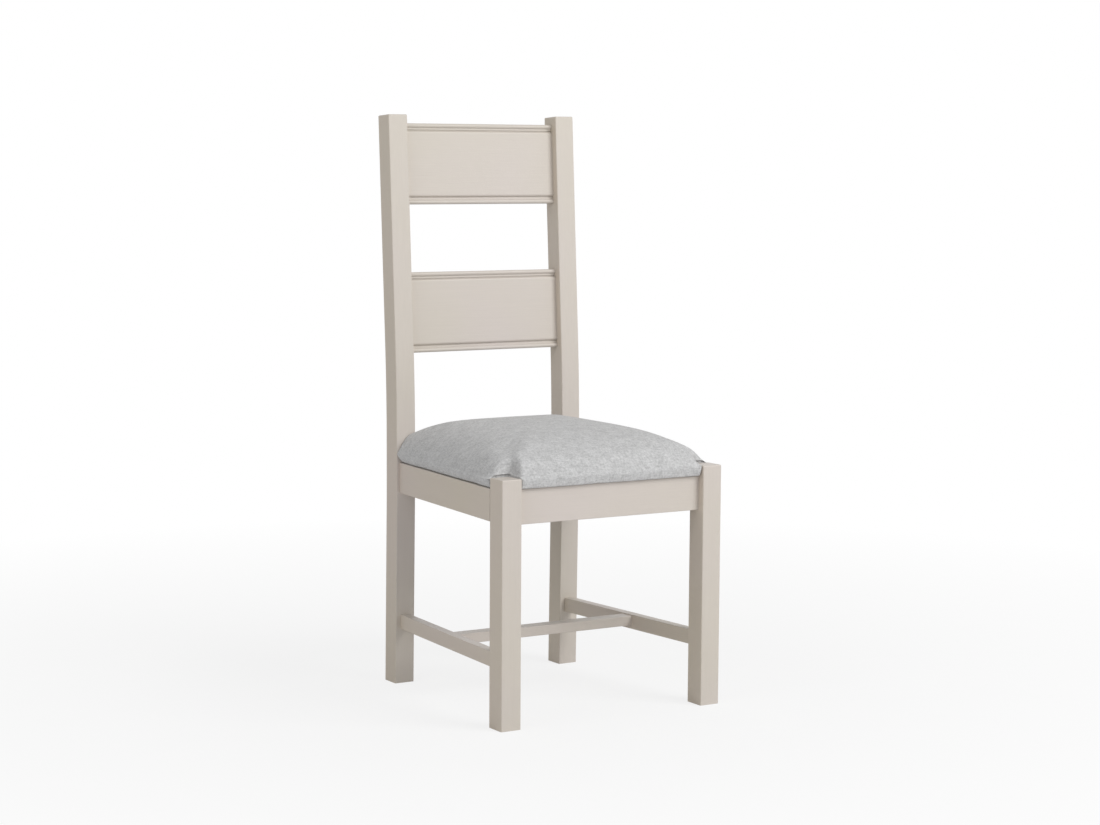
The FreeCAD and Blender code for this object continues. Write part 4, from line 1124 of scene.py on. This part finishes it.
class CHAIR_OT_build_stage(bpy.types.Operator):
    """Build the floor, the lamps, the white room and the camera"""

    bl_idname = "chair.build_stage"
    bl_label = "Build Stage"

    def execute(self, context):
        made = context.scene.chair_stage
        self.floor(context)
        self.lamp(context, "key", *KEY_LAMP, made.key_power)
        self.lamp(context, "fill", *FILL_LAMP, made.fill_power)
        self.room(context, made.ambient)
        self.camera(context, made)
        context.scene.view_settings.view_transform = "Standard"
        return {"FINISHED"}

    def floor(self, context):
        """A round floor just under the feet."""
        mesh = bpy.data.meshes.new("floor")
        shape = bmesh.new()
        bmesh.ops.create_circle(shape, cap_ends=True, segments=FLOOR_CORNERS, radius=FLOOR_RADIUS)
        shape.to_mesh(mesh)
        shape.free()
        mesh.materials.append(floor_material())
        floor = new_object(context, "floor", mesh)
        floor.location.z = -FLOOR_DROP

    def lamp(self, context, name, place, target, size, power):
        """A large soft lamp that faces a point."""
        data = bpy.data.lights.new(name, "AREA")
        data.size, data.energy = size, power
        lamp = new_object(context, name, data)
        lamp.location = place
        lamp.rotation_mode = "QUATERNION"
        lamp.rotation_quaternion = (Vector(target) - Vector(place)).to_track_quat("-Z", "Y")

    def room(self, context, ambient):
        """White to the camera and in reflections, dimmer as light on the chair."""
        world = bpy.data.worlds.new("white_room")
        world.use_nodes = True
        tree = world.node_tree
        tree.nodes.clear()
        path = tree.nodes.new("ShaderNodeLightPath").outputs
        mirrored = maths(tree, "MAXIMUM", path["Is Glossy Ray"], path["Is Transmission Ray"])
        seen = maths(tree, "MAXIMUM", path["Is Camera Ray"], mirrored)
        lit = tree.nodes.new("ShaderNodeBackground")
        lit.inputs["Color"].default_value = (1.0, 1.0, 1.0, 1.0)
        tree.links.new(spread(tree, seen, 0.0, 1.0, ambient, 1.0), lit.inputs["Strength"])
        output = tree.nodes.new("ShaderNodeOutputWorld")
        tree.links.new(lit.outputs[0], output.inputs["Surface"])
        context.scene.world = world

    def camera(self, context, made):
        """The camera at the photograph's angle."""
        data = bpy.data.cameras.new("camera")
        data.lens, data.sensor_width = made.lens, SENSOR_WIDTH
        camera = new_object(context, "camera", data)
        right, up = Vector(CAMERA_RIGHT), Vector(CAMERA_UP)
        turn = Matrix((right, up, right.cross(up))).transposed()
        camera.matrix_world = Matrix.Translation(made.camera_place) @ turn.to_4x4()
        context.scene.camera = camera


class CHAIR_PT_looks(bpy.types.Panel):
    """Lists the chair's pieces and their settings"""

    bl_label = "Ladderback Chair"
    bl_idname = "CHAIR_PT_looks"
    bl_space_type = "VIEW_3D"
    bl_region_type = "UI"
    bl_category = "Chair"

    def draw(self, context):
        layout = self.layout
        for operator in OPERATORS:
            layout.operator(operator.bl_idname)
        for name, kind in SETTINGS.items():
            box = layout.box()
            box.label(text=kind.__doc__)
            for prop in kind.__annotations__:
                box.prop(getattr(context.scene, name), prop)


SETTINGS = {
    "chair_paint": ChairPaint,
    "chair_fabric": ChairFabric,
    "chair_seat": ChairSeat,
    "chair_stage": ChairStage,
}
OPERATORS = (
    CHAIR_OT_paint_legs,
    CHAIR_OT_paint_cross_pieces,
    CHAIR_OT_paint_side_pieces,
    CHAIR_OT_finish_underside,
    CHAIR_OT_make_dust_cover,
    CHAIR_OT_make_seat_pad,
    CHAIR_OT_build_stage,
)


def register():
    """Register the settings, the operators and the panel."""
    for kind in (*SETTINGS.values(), *OPERATORS, CHAIR_PT_looks):
        bpy.utils.register_class(kind)
    for name, kind in SETTINGS.items():
        setattr(bpy.types.Scene, name, PointerProperty(type=kind))


def unregister():
    """Remove what register added."""
    for name in SETTINGS:
        delattr(bpy.types.Scene, name)
    for kind in reversed((*SETTINGS.values(), *OPERATORS, CHAIR_PT_looks)):
        bpy.utils.unregister_class(kind)


def main():
    """Build all the pieces."""
    register()
    bpy.ops.chair.paint_legs()
    bpy.ops.chair.paint_cross_pieces()
    bpy.ops.chair.paint_side_pieces()
    bpy.ops.chair.finish_underside()
    bpy.ops.chair.make_dust_cover()
    bpy.ops.chair.make_seat_pad()
    bpy.ops.chair.build_stage()


if __name__ == "__main__":
    main()
